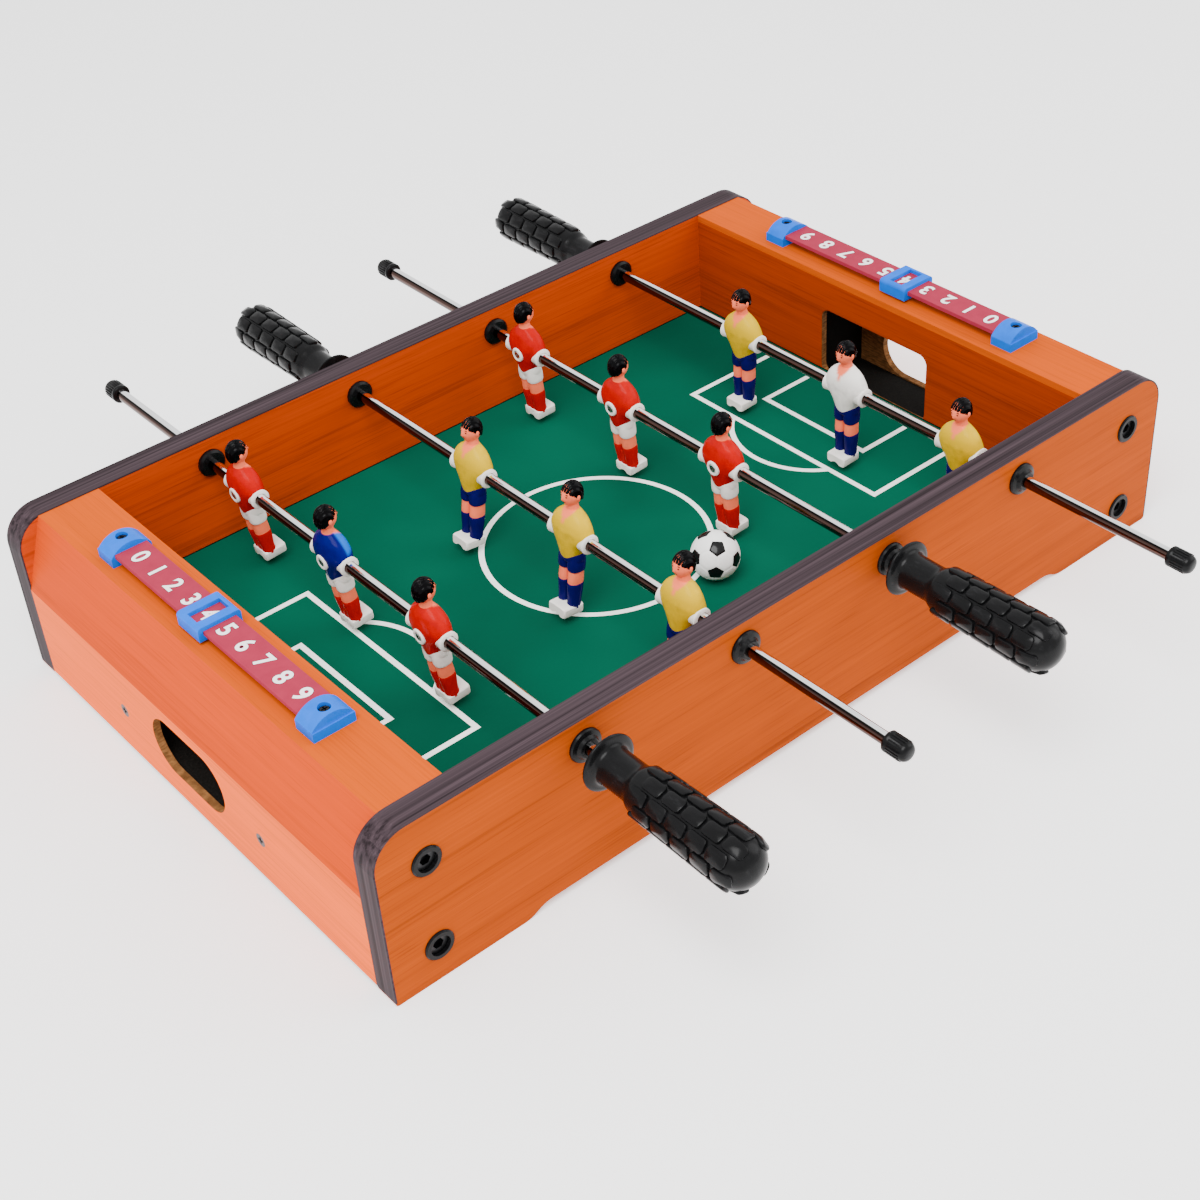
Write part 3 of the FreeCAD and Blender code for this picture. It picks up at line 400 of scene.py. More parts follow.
def cloth_paint(name, shirt, skin, shoulder):
    """Shirt paint that fades to skin at the neck and to a second colour on the shoulders."""
    finish = Finish(name, 0.22, coat=0.02, shine=0.08)
    cloud = finish.noise((220.0, 220.0, 220.0), detail=3.0)
    finish.relief(finish.noise((800.0, 800.0, 800.0)), 0.04, 0.3)
    body = finish.tones(cloud, ((0.3, shaded(shirt, 0.86)), (0.5, shirt), (0.7, shaded(shirt, 1.1))))
    with_shoulder = finish.mixed(finish.attribute("shoulder"), body, shoulder)
    return finish.done(finish.mixed(finish.attribute("neckline"), with_shoulder, skin))


def put_finish(material, *nodes):
    for name in nodes:
        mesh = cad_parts[name].data
        mesh.materials.clear()
        mesh.materials.append(material)


def shared_finish(name, make):
    """The material of that name, made the first time it is asked for."""
    return bpy.data.materials.get(name) or make()


def grip_black():
    return shared_finish("black_moulding",
                         lambda: black_plastic(tuple(bpy.context.scene.foosball_grips.black)))


# ------------------------------------------------------------------ meshes
class Moulding:
    """Gathers closed shells in local millimetres, then makes one object of them in the row frame."""

    def __init__(self):
        self.points, self.faces, self.finishes, self.tints = [], [], [], []

    def shell(self, rings, finish, tint=None):
        """A closed skin over rings of equal length, with a fan over each end."""
        start, count = len(self.points), len(rings[0])
        for ring in rings:
            self.points += [Vector(point) for point in ring]
        self.tints += [tint(Vector(p)) if tint else (0.0, 0.0) for ring in rings for p in ring]
        for i in range(len(rings) - 1):
            for j in range(count):
                a, b = start + i * count + j, start + i * count + (j + 1) % count
                self.add((a, b, b + count, a + count), finish)
        for offset, ring in ((0, rings[0]), ((len(rings) - 1) * count, rings[-1])):
            hub = len(self.points)
            self.points.append(sum((Vector(p) for p in ring), Vector()) / count)
            self.tints.append(self.tints[start + offset])
            for j in range(count):
                self.add((start + offset + j, start + offset + (j + 1) % count, hub), finish)

    def ring_of_revolution(self, profile, axis, finish, steps=40):
        """A closed loop of (along, radius) points turned about X, Y or Z into one skin."""
        start = len(self.points)
        for along, radius in profile:
            for j in range(steps):
                turn = 2 * math.pi * j / steps
                point = [radius * math.cos(turn), radius * math.sin(turn)]
                point.insert(axis, along)
                self.points.append(Vector(point))
                self.tints.append((0.0, 0.0))
        for i in range(len(profile)):
            for j in range(steps):
                near, far = start + i * steps, start + (i + 1) % len(profile) * steps
                self.add((near + j, near + (j + 1) % steps, far + (j + 1) % steps, far + j), finish)

    def add(self, face, finish):
        self.faces.append(face)
        self.finishes.append(finish)

    def made(self, name, materials, place, sharp):
        mesh = bpy.data.meshes.new(name)
        mesh.from_pydata([point * MM for point in self.points], [], self.faces)
        for material in materials:
            mesh.materials.append(material)
        mesh.polygons.foreach_set("material_index", self.finishes)
        for index, key in enumerate(("neckline", "shoulder")):
            layer = mesh.attributes.new(key, "FLOAT", "POINT")
            layer.data.foreach_set("value", [tint[index] for tint in self.tints])
        mesh.transform(place)
        return placed(name, tidy_mesh(mesh, sharp))


def tidy_mesh(mesh, sharp, merge=1e-7):
    """Merges doubles, turns every face outwards and shades smooth up to the sharp angle."""
    work = bmesh.new()
    work.from_mesh(mesh)
    bmesh.ops.remove_doubles(work, verts=work.verts, dist=merge)
    bmesh.ops.recalc_face_normals(work, faces=work.faces)
    work.to_mesh(mesh)
    work.free()
    mesh.shade_smooth()
    mesh.set_sharp_from_angle(angle=math.radians(sharp))
    return mesh


def placed(name, mesh):
    """A new object at the origin that holds the mesh."""
    piece = bpy.data.objects.new(name, mesh)
    bpy.context.scene.collection.objects.link(piece)
    return piece


def section(rx, ry, x, z, steps=40, power=2.0, dip=0.0, y=0.0):
    """A flat oval ring. dip lowers its front and back."""
    ring = []
    for i in range(steps):
        turn = 2 * math.pi * i / steps
        c, s = math.cos(turn), math.sin(turn)
        px = math.copysign(abs(c) ** (2 / power), c)
        py = math.copysign(abs(s) ** (2 / power), s)
        ring.append((x + rx * px, y + ry * py, z - dip * px * px))
    return ring


def smoothstep(low, high, value):
    t = min(1.0, max(0.0, (value - low) / (high - low)))
    return t * t * (3 - 2 * t)


def finer(sections, steps=4):
    """More sections between the given ones, on a smooth curve through them."""
    result = []
    for i in range(len(sections) - 1):
        before = sections[max(i - 1, 0)]
        here, there = sections[i], sections[i + 1]
        after = sections[min(i + 2, len(sections) - 1)]
        for k in range(steps):
            t = k / steps
            result.append(tuple(
                0.5 * (2 * b + (c - a) * t + (2 * a - 5 * b + 4 * c - d) * t * t
                       + (3 * b - a - 3 * c + d) * t ** 3)
                for a, b, c, d in zip(before, here, there, after)))
    return result + [sections[-1]]


# ------------------------------------------------------------------ where the rods are
def rod_axis(number):
    """(x, z) of a rod."""
    low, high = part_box("rod_%d_tube" % number)
    return (low.x + high.x) / 2, (low.z + high.z) / 2


def rod_side(number):
    """-1 where the handle is on the near side, 1 where it is on the far side."""
    low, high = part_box("rod_%d_handle" % number)
    return 1 if low.y + high.y > 0 else -1


def player_place(number, letter):
    """The matrix from a player's own axes (forward X, up Z, rod along Y) to the row frame."""
    x, z = rod_axis(number)
    low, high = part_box("rod_%d_player_%s" % (number, letter))
    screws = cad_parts["rod_%d_player_screws" % number].data.vertices
    middle = sum((v.co for v in screws), Vector()) / len(screws)
    forward = Vector((x - middle.x, 0, z - middle.z)).normalized()
    up = Vector((-forward.z, 0, forward.x))
    if up.z < 0:
        up.negate()
    across = up.cross(forward)
    turn = Matrix((forward, across, up)).transposed().to_4x4()
    return Matrix.Translation((x, (low.y + high.y) / 2, z)) @ turn


# ------------------------------------------------------------------ players
# Sections of the figure: half depth, half width, shift forward, height from the rod (mm).
TORSO = ((5.0, 6.4, 0.0, -10.5), (5.8, 7.4, 0.0, -8.0), (6.6, 9.4, 0.0, -4.5), (7.0, 12.6, 0.0, -0.5),
         (7.2, 13.7, 0.0, 2.6), (7.2, 13.4, 0.1, 5.0), (6.6, 11.8, 0.2, 8.6), (5.7, 9.6, 0.1, 11.4),
         (4.5, 6.8, 0.0, 13.6), (3.4, 4.2, 0.0, 15.4))
HIPS = ((5.0, 6.8, 0.0, -7.0), (5.3, 7.6, 0.0, -10.0), (5.2, 7.5, 0.1, -13.0), (4.6, 6.4, 0.1, -14.4))
# Sections of one leg, from its own middle line.
SHORT_LEG = ((4.6, 3.7, 0.0, -11.0), (4.9, 3.9, 0.1, -14.0), (4.8, 3.8, 0.2, -18.0), (4.4, 3.5, 0.2, -19.2))
KNEE = ((3.9, 3.2, 0.2, -17.5), (4.1, 3.2, 0.4, -21.5), (4.2, 3.2, 0.6, -25.0), (3.7, 3.0, 0.7, -29.0))
SOCK = ((4.0, 3.3, 0.6, -26.4), (4.3, 3.4, 0.7, -27.2), (4.1, 3.3, 0.9, -31.0), (3.6, 3.0, 1.2, -36.0),
        (3.7, 3.0, 1.6, -40.6))
LEG_MIDDLE = 3.45
WEB = ((1.3, 2.6, -1.6, -12.0), (1.3, 2.6, -1.5, -20.0), (1.3, 2.6, -1.2, -30.0), (1.3, 2.6, -0.8, -40.4))
HUB = ((-13.9, 3.3), (-13.9, 4.9), (-13.6, 5.3), (-12.8, 5.3), (-12.3, 5.0), (12.3, 5.0),
       (12.8, 5.3), (13.6, 5.3), (13.9, 4.9), (13.9, 3.3))
BOSS = ((-3.0, 0.6), (-3.0, 4.2), (-7.5, 4.2), (-8.0, 3.7), (-8.0, 2.7), (-6.5, 2.7), (-6.5, 0.6))
# The shoe seen from the front (y, height above the sole), with the hollow under its sole.
SHOE = ((-6.4, 0.9), (-5.9, 0.15), (-4.4, 0.0), (-3.5, 0.0), (-2.2, 1.0), (0.0, 1.6), (2.2, 1.0),
        (3.5, 0.0), (4.4, 0.0), (5.9, 0.15), (6.4, 0.9), (6.4, 4.7), (5.8, 5.4), (3.0, 5.6),
        (-3.0, 5.6), (-5.8, 5.4), (-6.4, 4.7))
# Where the shoe's sections are from heel to toe, and their size.
SHOE_STATIONS = ((-2.6, 0.90), (-2.3, 0.97), (-1.6, 1.0), (4.0, 1.0), (8.9, 1.0), (9.7, 0.97), (10.1, 0.90))
SOLE = -44.4
HEAD = (5.7, 4.9, 6.8)  # half depth, half width, half height
HEAD_AT = (0.6, 0.0, 23.3)
SKIN, HAIR, SHIRT, SHORT, HOSE, BARE, DARK = range(7)


def ball_rings(around=36, levels=22):
    """Unit directions from crown to chin, in rings."""
    for i in range(1, levels):
        polar = math.pi * i / levels
        yield [(math.sin(polar) * math.cos(2 * math.pi * j / around),
                math.sin(polar) * math.sin(2 * math.pi * j / around), math.cos(polar))
               for j in range(around)]


def face_point(direction):
    """A calm, plain head: narrower jaw, a short nose and a slight brow."""
    x, y, z = direction
    jaw = 1 - 0.20 * smoothstep(0.0, 1.0, -z)
    front = smoothstep(0.2, 1.0, x)
    nose = 1.25 * math.exp(-((y / 0.17) ** 2) - ((z + 0.12) / 0.20) ** 2) * front
    brow = 0.30 * math.exp(-((z - 0.22) / 0.10) ** 2) * front
    chin = 0.45 * math.exp(-((y / 0.30) ** 2) - ((z + 0.78) / 0.20) ** 2) * front
    socket = -0.35 * math.exp(-(((abs(y) - 0.34) / 0.16) ** 2) - ((z - 0.06) / 0.12) ** 2) * front
    out = nose + brow + chin + socket
    return (HEAD_AT[0] + HEAD[0] * x * (1 - 0.06 * smoothstep(0.0, 1.0, -z)) + out,
            HEAD_AT[1] + HEAD[1] * y * jaw, HEAD_AT[2] + HEAD[2] * z)


def hair_point(direction, ridges, depth):
    """A combed cap that sinks under the skin in front of the hairline."""
    x, y, z = direction
    over = smoothstep(-0.03, 0.04, z - (-0.14 + 0.52 * x))
    comb = over * depth * math.cos(math.pi * ridges * (y + 0.25 * x))
    size = 0.90 + over * 0.155
    return (HEAD_AT[0] + (HEAD[0] * size + over * comb) * x - 0.15,
            HEAD_AT[1] + (HEAD[1] * size + over * comb) * y,
            HEAD_AT[2] + (HEAD[2] * size + over * comb) * z - 0.10)


def shirt_tints(point):
    """How much of the skin and of the shoulder colour shows at a point of the shirt."""
    opening = 3.8 * smoothstep(8.8, 15.6, point.z)
    neckline = smoothstep(0.9, -0.6, abs(point.y) - opening) if point.x > 1.0 else 0.0
    neckline *= smoothstep(7.6, 9.4, point.z)
    shoulder = smoothstep(0.0, 1.6, point.x) * smoothstep(5.0, 7.5, point.z)
    return neckline, shoulder


def lump(moulding, centre, half, finish, around=14, levels=8):
    """A small closed oval, such as an ear or an eye."""
    rings = [[tuple(c + h * d for c, h, d in zip(centre, half, direction)) for direction in ring]
             for ring in ball_rings(around, levels)]
    moulding.shell(rings, finish)


def add_head(moulding, settings):
    rings = [[face_point(d) for d in ring] for ring in ball_rings()]
    moulding.shell(rings, SKIN)
    depth = settings.ridge_depth / MM
    moulding.shell([[hair_point(d, settings.ridges, depth) for d in ring]
                    for ring in ball_rings(64, 34)], HAIR)
    neck = ((3.5, 3.5, -0.2, 12.5), (3.2, 3.2, 0.0, 15.5), (3.0, 2.9, 0.3, 18.5), (3.2, 3.1, 0.4, 20.0))
    moulding.shell([section(*s) for s in finer(neck)], SKIN)
    x, _, z = HEAD_AT
    for side in (-1, 1):
        lump(moulding, (x - 0.3, side * 4.75, z - 0.4), (1.2, 0.55, 1.6), SKIN)
        lump(moulding, (x + 5.05, side * 1.75, z + 0.35), (0.35, 0.62, 0.34), DARK)
        lump(moulding, (x + 5.10, side * 1.85, z + 1.75), (0.35, 1.00, 0.20), DARK)
    lump(moulding, (x + 4.95, 0.0, z - 3.0), (0.35, 1.05, 0.20), DARK)


def add_body(moulding, settings):
    """Torso, hips and the two legs, each a separate skin that overlaps the next."""
    rings = []
    for rx, ry, x, z in finer(TORSO, 5):
        rings.append(section(rx, ry, x, z, power=2.2, dip=settings.hem / MM * smoothstep(-4.0, -10.5, z)))
    moulding.shell(rings, SHIRT, shirt_tints)
    moulding.shell([section(*s, power=2.4) for s in finer(HIPS)], SHORT)
    for side in (-1, 1):
        for sections, finish, dip in ((SHORT_LEG, SHORT, 0.0), (KNEE, SKIN, 0.6), (SOCK, HOSE, 0.0)):
            moulding.shell([section(*s, steps=24, power=2.5, dip=dip, y=side * LEG_MIDDLE)
                            for s in finer(sections, 3)], finish)
    web = finer(WEB, 2)
    for finish, high, low in ((SHORT, -11.0, -18.0), (SKIN, -18.0, -28.0), (HOSE, -28.0, -41.0)):
        part = [s for s in web if low - 0.01 <= s[3] <= high + 0.01]
        moulding.shell([section(*s, steps=16, power=3.0) for s in part], finish)


def add_shoe(moulding):
    """The foot block, rounded at heel and toe, with the hollow running from heel to toe."""
    middle = 2.8
    moulding.shell([[(x, y * size, SOLE + middle + (height - middle) * size) for y, height in SHOE]
                    for x, size in SHOE_STATIONS], BARE)


def build_player(number, letter, settings, kits):
    moulding = Moulding()
    add_head(moulding, settings)
    add_body(moulding, settings)
    add_shoe(moulding)
    moulding.ring_of_revolution(HUB, 1, BARE)
    moulding.ring_of_revolution(BOSS, 0, BARE, 28)
    name = "rod_%d_figure_%s" % (number, letter)
    node = "rod_%d_player_%s" % (number, letter)
    kit, slot = kits
    piece = moulding.made(name, kit, player_place(number, letter), 38.0)
    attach(piece, "rod_%d" % number)
    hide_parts(node)


class FOOSBALL_OT_players(Operator):
    """Mould the twelve players and paint their kits"""
    bl_idname = "foosball.players"
    bl_label = "Players"

    def execute(self, context):
        s = context.scene.foosball_players
        skin, white, navy, red = tuple(s.skin), tuple(s.white), tuple(s.navy), tuple(s.red)
        skin_paint = plastic("skin_paint", skin, 0.32, 0.0, 0.06, 0.08)
        hair_paint = plastic("hair_paint", tuple(s.hair), 0.14, 0.02, 0.3, 0.1)
        bare = plastic("white_moulding", white, 0.32, 0.0, 0.04)
        navy_paint = plastic("navy_paint", navy, 0.22, 0.0, 0.12, 0.08)
        red_paint = plastic("red_paint", red, 0.22, 0.0, 0.08, 0.08)
        dark = plastic("face_marks", tuple(s.hair), 0.4, 0.0, 0.2)
        red_shirt = cloth_paint("red_shirt", red, skin, red)
        yellow_shirt = cloth_paint("yellow_shirt", tuple(s.yellow), skin, tuple(s.yellow))
        blue_shirt = cloth_paint("blue_shirt", tuple(s.blue), skin, tuple(s.sky))
        white_shirt = cloth_paint("white_shirt", white, skin, white)
        kits = {
            "red": ((skin_paint, hair_paint, red_shirt, bare, red_paint, bare, dark), "red_player"),
            "blue": ((skin_paint, hair_paint, blue_shirt, bare, red_paint, bare, dark), "blue_keeper"),
            "yellow": ((skin_paint, hair_paint, yellow_shirt, navy_paint, navy_paint, bare, dark),
                       "yellow_player"),
            "white": ((skin_paint, hair_paint, white_shirt, navy_paint, navy_paint, bare, dark),
                      "white_keeper"),
        }
        teams = {1: ("red", "blue", "red"), 2: ("yellow",) * 3, 3: ("red",) * 3,
                 4: ("yellow", "white", "yellow")}
        for number in RODS:
            for letter, kit in zip(PLAYERS, teams[number]):
                build_player(number, letter, s, kits[kit])
        return {"FINISHED"}


# ------------------------------------------------------------------ repeats round a rod
def repeat_tree():
    """Geometry nodes that lay flat tiles in columns and rows, then wrap them round a grip.

    A tile's x is its height off the core, y runs along the rod and z round it. Past the place where
    the dome begins, the rows are bent over the grip's end.
    """
    tree = bpy.data.node_groups.new("wrap_round_rod", "GeometryNodeTree")
    sockets = {}
    for name, kind in (("Piece", "NodeSocketGeometry"), ("Columns", "NodeSocketInt"),
                       ("Rows", "NodeSocketInt"), ("Pitch", "NodeSocketFloat"),
                       ("Stagger", "NodeSocketFloat"), ("Start", "NodeSocketFloat"),
                       ("Radius", "NodeSocketFloat"), ("Growth", "NodeSocketFloat"),
                       ("Dome start", "NodeSocketFloat"), ("Dome depth", "NodeSocketFloat"),
                       ("Dome reach", "NodeSocketFloat"), ("Side", "NodeSocketFloat"),
                       ("Centre", "NodeSocketVector"), ("Finish", "NodeSocketMaterial")):
        item = tree.interface.new_socket(name, in_out="INPUT", socket_type=kind)
        sockets[name] = item.identifier
    tree.interface.new_socket("Result", in_out="OUTPUT", socket_type="NodeSocketGeometry")
    given = tree.nodes.new("NodeGroupInput").outputs
    result = tree.nodes.new("NodeGroupOutput")

    def math_node(operation, first, second=0.0):
        node = tree.nodes.new("ShaderNodeMath")
        node.operation = operation
        for socket, value in zip(node.inputs, (first, second)):
            if isinstance(value, (int, float)):
                socket.default_value = value
            else:
                tree.links.new(value, socket)
        return node.outputs[0]

    def vector_node(x, y, z):
        node = tree.nodes.new("ShaderNodeCombineXYZ")
        for socket, value in zip(node.inputs, (x, y, z)):
            if value is not None:
                tree.links.new(value, socket)
        return node.outputs[0]

    index = tree.nodes.new("GeometryNodeInputIndex").outputs[0]
    column = math_node("MODULO", index, given["Columns"])
    row = math_node("FLOOR", math_node("DIVIDE", index, given["Columns"]))
    odd = math_node("MULTIPLY", math_node("MODULO", column, 2), given["Stagger"])
    along = math_node("ADD", given["Start"],
                      math_node("MULTIPLY", math_node("ADD", row, odd), given["Pitch"]))
    around = math_node("MULTIPLY", math_node("DIVIDE", column, given["Columns"]),
                       math_node("MULTIPLY", given["Radius"], 2 * math.pi))
    line = tree.nodes.new("GeometryNodeMeshLine")
    tree.links.new(math_node("MULTIPLY", given["Columns"], given["Rows"]), line.inputs["Count"])
    spread = tree.nodes.new("GeometryNodeSetPosition")
    tree.links.new(line.outputs[0], spread.inputs["Geometry"])
    tree.links.new(vector_node(None, along, around), spread.inputs["Position"])
    copies = tree.nodes.new("GeometryNodeInstanceOnPoints")
    tree.links.new(spread.outputs[0], copies.inputs["Points"])
    tree.links.new(given["Piece"], copies.inputs["Instance"])
    # The tiles are made real before they are wrapped, so that each one bends.
    real = tree.nodes.new("GeometryNodeRealizeInstances")
    tree.links.new(copies.outputs[0], real.inputs[0])

    flat = tree.nodes.new("ShaderNodeSeparateXYZ")
    tree.links.new(tree.nodes.new("GeometryNodeInputPosition").outputs[0], flat.inputs[0])
    height, along, around = flat.outputs
    straight = math_node("MINIMUM", along, given["Dome start"])
    past = math_node("DIVIDE", math_node("SUBTRACT", along, straight), given["Dome reach"])
    bend = math_node("MULTIPLY", math_node("MINIMUM", past, 1.0), math.pi / 2)
    core = math_node("ADD", given["Radius"], math_node("MULTIPLY", given["Growth"], straight))
    radius = math_node("MULTIPLY", math_node("ADD", core, height), math_node("COSINE", bend))
    reach = math_node("ADD", straight, math_node(
        "MULTIPLY", math_node("ADD", given["Dome depth"], height), math_node("SINE", bend)))
    turn = math_node("DIVIDE", around, given["Radius"])
    wrapped = tree.nodes.new("ShaderNodeVectorMath")
    tree.links.new(vector_node(math_node("MULTIPLY", radius, math_node("COSINE", turn)),
                               math_node("MULTIPLY", reach, given["Side"]),
                               math_node("MULTIPLY", radius, math_node("SINE", turn))),
                   wrapped.inputs[0])
    tree.links.new(given["Centre"], wrapped.inputs[1])
    wrap = tree.nodes.new("GeometryNodeSetPosition")
    tree.links.new(real.outputs[0], wrap.inputs["Geometry"])
    tree.links.new(wrapped.outputs[0], wrap.inputs["Position"])
    last = tree.nodes.new("GeometryNodeRealizeInstances")
    tree.links.new(wrap.outputs[0], last.inputs[0])
    finish = tree.nodes.new("GeometryNodeSetMaterial")
    tree.links.new(last.outputs[0], finish.inputs["Geometry"])
    tree.links.new(given["Finish"], finish.inputs["Material"])
    tree.links.new(finish.outputs[0], result.inputs[0])
    return tree, sockets


def repeated(name, mesh, tree_and_sockets, material, values):
    """The mesh repeated by the tree, as one plain mesh object."""
    tree, sockets = tree_and_sockets
    seed = placed(name + "_seed", mesh)
    modifier = seed.modifiers.new("repeat", "NODES")
    modifier.node_group = tree
    for key, value in values.items():
        modifier[sockets[key]] = value
    modifier[sockets["Finish"]] = material
    depsgraph = bpy.context.evaluated_depsgraph_get()
    result = bpy.data.meshes.new_from_object(seed.evaluated_get(depsgraph))
    seed.modifiers.remove(modifier)
    bpy.data.objects.remove(seed)
    result.name = name
    if not result.materials:
        result.materials.append(material)
    return placed(name, tidy_mesh(result, 35.0))


def tile_mesh(long, wide, thick, corner, edge):
    """A flat tile in mm: rounded corners in its outline and a rounded upper edge."""
    outline = []
    for cy, cz, first in ((1, 1, 0), (-1, 1, 90), (-1, -1, 180), (1, -1, 270)):
        for k in range(4):
            turn = math.radians(first + 30 * k)
            outline.append((cy * (long / 2 - corner) + corner * math.cos(turn),
                            cz * (wide / 2 - corner) + corner * math.sin(turn)))
    tile = Moulding()
    rings = []
    for height, inset in ((-0.7, 0.0), (thick - edge, 0.0), (thick - edge * 0.3, edge * 0.35), (thick, edge)):
        rings.append([(height, y * (1 - 2 * inset / long), z * (1 - 2 * inset / wide))
                      for y, z in outline])
    tile.shell(rings, 0)
    mesh = bpy.data.meshes.new("tile")
    mesh.from_pydata([point * MM for point in tile.points], [], tile.faces)
    return mesh


def turned(profile, side, steps=64):
    """Rings of (along, radius) points turned about a rod, running out from its side of the table."""
    return [[(radius * math.cos(2 * math.pi * j / steps), side * along,
              radius * math.sin(2 * math.pi * j / steps)) for j in range(steps)]
            for along, radius in profile]


GRIP_NECK = 9.2
GRIP_CORE_START, GRIP_CORE_END = 11.3, 12.3  # radius under the first and the last pads
GRIP_FIRST_EDGE = 24.5  # where the pads begin, from the guard's face
GRIP_DOME = 10.6
PAD_CORNER, PAD_EDGE = 1.7, 0.7
PAD_STAGGER = 0.38  # of the pitch, for every other column


def grip_profile(total, guard, depth):
    """(along, radius) of the grip's core in mm: thin guard disc, neck, core and domed end."""
    dome_start = total - GRIP_DOME - depth
    profile = [(0.0, guard - 0.7), (0.25, guard - 0.15), (0.8, guard), (1.1, guard), (1.5, guard - 0.4),
               (1.8, guard - 2.0), (2.1, GRIP_NECK + 1.6), (2.8, GRIP_NECK + 0.6), (4.2, GRIP_NECK + 0.1),
               (7.0, GRIP_NECK), (19.0, GRIP_NECK), (21.0, GRIP_NECK + 0.4), (22.6, GRIP_CORE_START - 0.7),
               (GRIP_FIRST_EDGE, GRIP_CORE_START), (dome_start, GRIP_CORE_END)]
    for i in range(1, 12):
        turn = math.radians(90 * i / 12)
        profile.append((dome_start + GRIP_DOME * math.sin(turn), GRIP_CORE_END * math.cos(turn)))
    return profile + [(dome_start + GRIP_DOME, 0.4)]


class FOOSBALL_OT_grips(Operator):
    """Mould the four grips with their rows of pads"""
    bl_idname = "foosball.grips"
    bl_label = "Grips"

    def execute(self, context):
        s = context.scene.foosball_grips
        material, tree = grip_black(), repeat_tree()
        for number in RODS:
            low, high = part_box("rod_%d_handle" % number)
            x, z = rod_axis(number)
            side = rod_side(number)
            face = high.y if side < 0 else low.y
            total = (high.y - low.y) / MM
            guard, depth = (high.z - low.z) / 2 / MM, s.depth / MM
            core = Moulding()
            core.shell(turned(grip_profile(total, guard, depth), side), 0)
            grip = core.made("rod_%d_grip" % number, [material], Matrix.Translation((x, face, z)), 50.0)
            dome_start = total - GRIP_DOME - depth
            growth = (GRIP_CORE_END - GRIP_CORE_START) / (dome_start - GRIP_FIRST_EDGE)
            base = GRIP_CORE_START - growth * GRIP_FIRST_EDGE
            wide = 2 * math.pi * base / s.columns - s.groove / MM * 0.55
            tile = tile_mesh((s.pitch - s.groove) / MM, wide, depth, PAD_CORNER, PAD_EDGE)
            reach = math.pi / 2 * math.hypot(GRIP_DOME, GRIP_CORE_END) / math.sqrt(2)
            pads = repeated("rod_%d_grip_pads" % number, tile, tree, material, {
                "Columns": s.columns, "Rows": s.rows, "Pitch": s.pitch, "Stagger": PAD_STAGGER,
                "Start": GRIP_FIRST_EDGE * MM + s.pitch / 2, "Radius": base * MM, "Growth": growth,
                "Dome start": dome_start * MM, "Dome depth": GRIP_DOME * MM, "Dome reach": reach * MM,
                "Side": float(side), "Centre": (x, face, z)})
            for piece in (grip, pads):
                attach(piece, "rod_%d" % number)
            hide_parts("rod_%d_handle" % number)
        return {"FINISHED"}


class FOOSBALL_OT_caps(Operator):
    """Mould the ribbed caps on the rods' plain ends"""
    bl_idname = "foosball.caps"
    bl_label = "End caps"

    def execute(self, context):
        s = context.scene.foosball_grips
        material, tree = grip_black(), repeat_tree()
        for number in RODS:
            low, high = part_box("rod_%d_cap" % number)
            x, z = rod_axis(number)
            side = -rod_side(number)
            face = low.y if side > 0 else high.y
            total, radius = (high.y - low.y) / MM, (high.z - low.z) / 2 / MM
            body = Moulding()
            profile = ((0.0, radius - 0.5), (0.5, radius), (2.2, radius), (2.6, radius - 0.4),
                       (total - 2.6, radius - 0.4), (total - 1.6, radius - 0.7),
                       (total - 0.5, radius - 1.5), (total, radius - 2.8), (total, 0.4))
            body.shell(turned(profile, side, 40), 0)
            cap = body.made("rod_%d_end_cap" % number, [material],
                            Matrix.Translation((x, face, z)), 50.0)
            rib = tile_mesh(total - 5.4, 0.75, 0.4, 0.3, 0.15)
            ribs = repeated("rod_%d_end_cap_ribs" % number, rib, tree, material, {
                "Columns": s.ribs, "Rows": 1, "Pitch": 0.0, "Stagger": 0.0,
                "Start": total / 2 * MM, "Radius": (radius - 0.4) * MM, "Growth": 0.0,
                "Dome start": total * MM, "Dome depth": MM, "Dome reach": MM,
                "Side": float(side), "Centre": (x, face, z)})
            for piece in (cap, ribs):
                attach(piece, "rod_%d_slide" % number)
            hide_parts("rod_%d_cap" % number)
        return {"FINISHED"}


# ------------------------------------------------------------------ ball
# Where two neighbouring black panels face, in the row frame, with the ball at rest.
BALL_PANEL = Vector((-0.331, -0.516, 0.790))
BALL_NEXT_PANEL = Vector((-0.658, -0.747, -0.090))


def panel_normals():
    """Directions of the 12 pentagons, and the three that stand round each of the 20 hexagons."""
    work = bmesh.new()
    bmesh.ops.create_icosphere(work, subdivisions=1, radius=1.0)
    corners = [v.co.normalized() for v in work.verts]
    triangles = [[v.co.normalized() for v in f.verts] for f in work.faces]
    work.free()
    return corners, triangles


def ball_turn(corners):
    """The rotation that brings two neighbouring pentagons to where they face at rest."""
    first = corners[0]
    second = min((c for c in corners if c is not first), key=lambda c: first.angle(c))

    def basis(a, b):
        side = a.cross(b).normalized()
        return Matrix((a, side.cross(a), side)).transposed()

    target = basis(BALL_PANEL.normalized(), BALL_NEXT_PANEL.normalized())
    return target @ basis(first, second).inverted()


def ball_panels():
    """Corner loops of the truncated icosahedron's faces, each with its finish."""
    corners, triangles = panel_normals()
    cut = lambda a, b: a.lerp(b, 1 / 3)
    panels = []
    for a, b, c in triangles:
        panels.append(([cut(a, b), cut(b, a), cut(b, c), cut(c, b), cut(c, a), cut(a, c)], 0))
    for corner in corners:
        ring = [cut(corner, other) for other in corners
                if other is not corner and corner.angle(other) < math.radians(70)]
        side = (ring[0] - corner * ring[0].dot(corner)).normalized()
        up = corner.cross(side)
        ring.sort(key=lambda p: math.atan2(p.dot(up), p.dot(side)))
        panels.append((ring, 1))
    return corners, panels


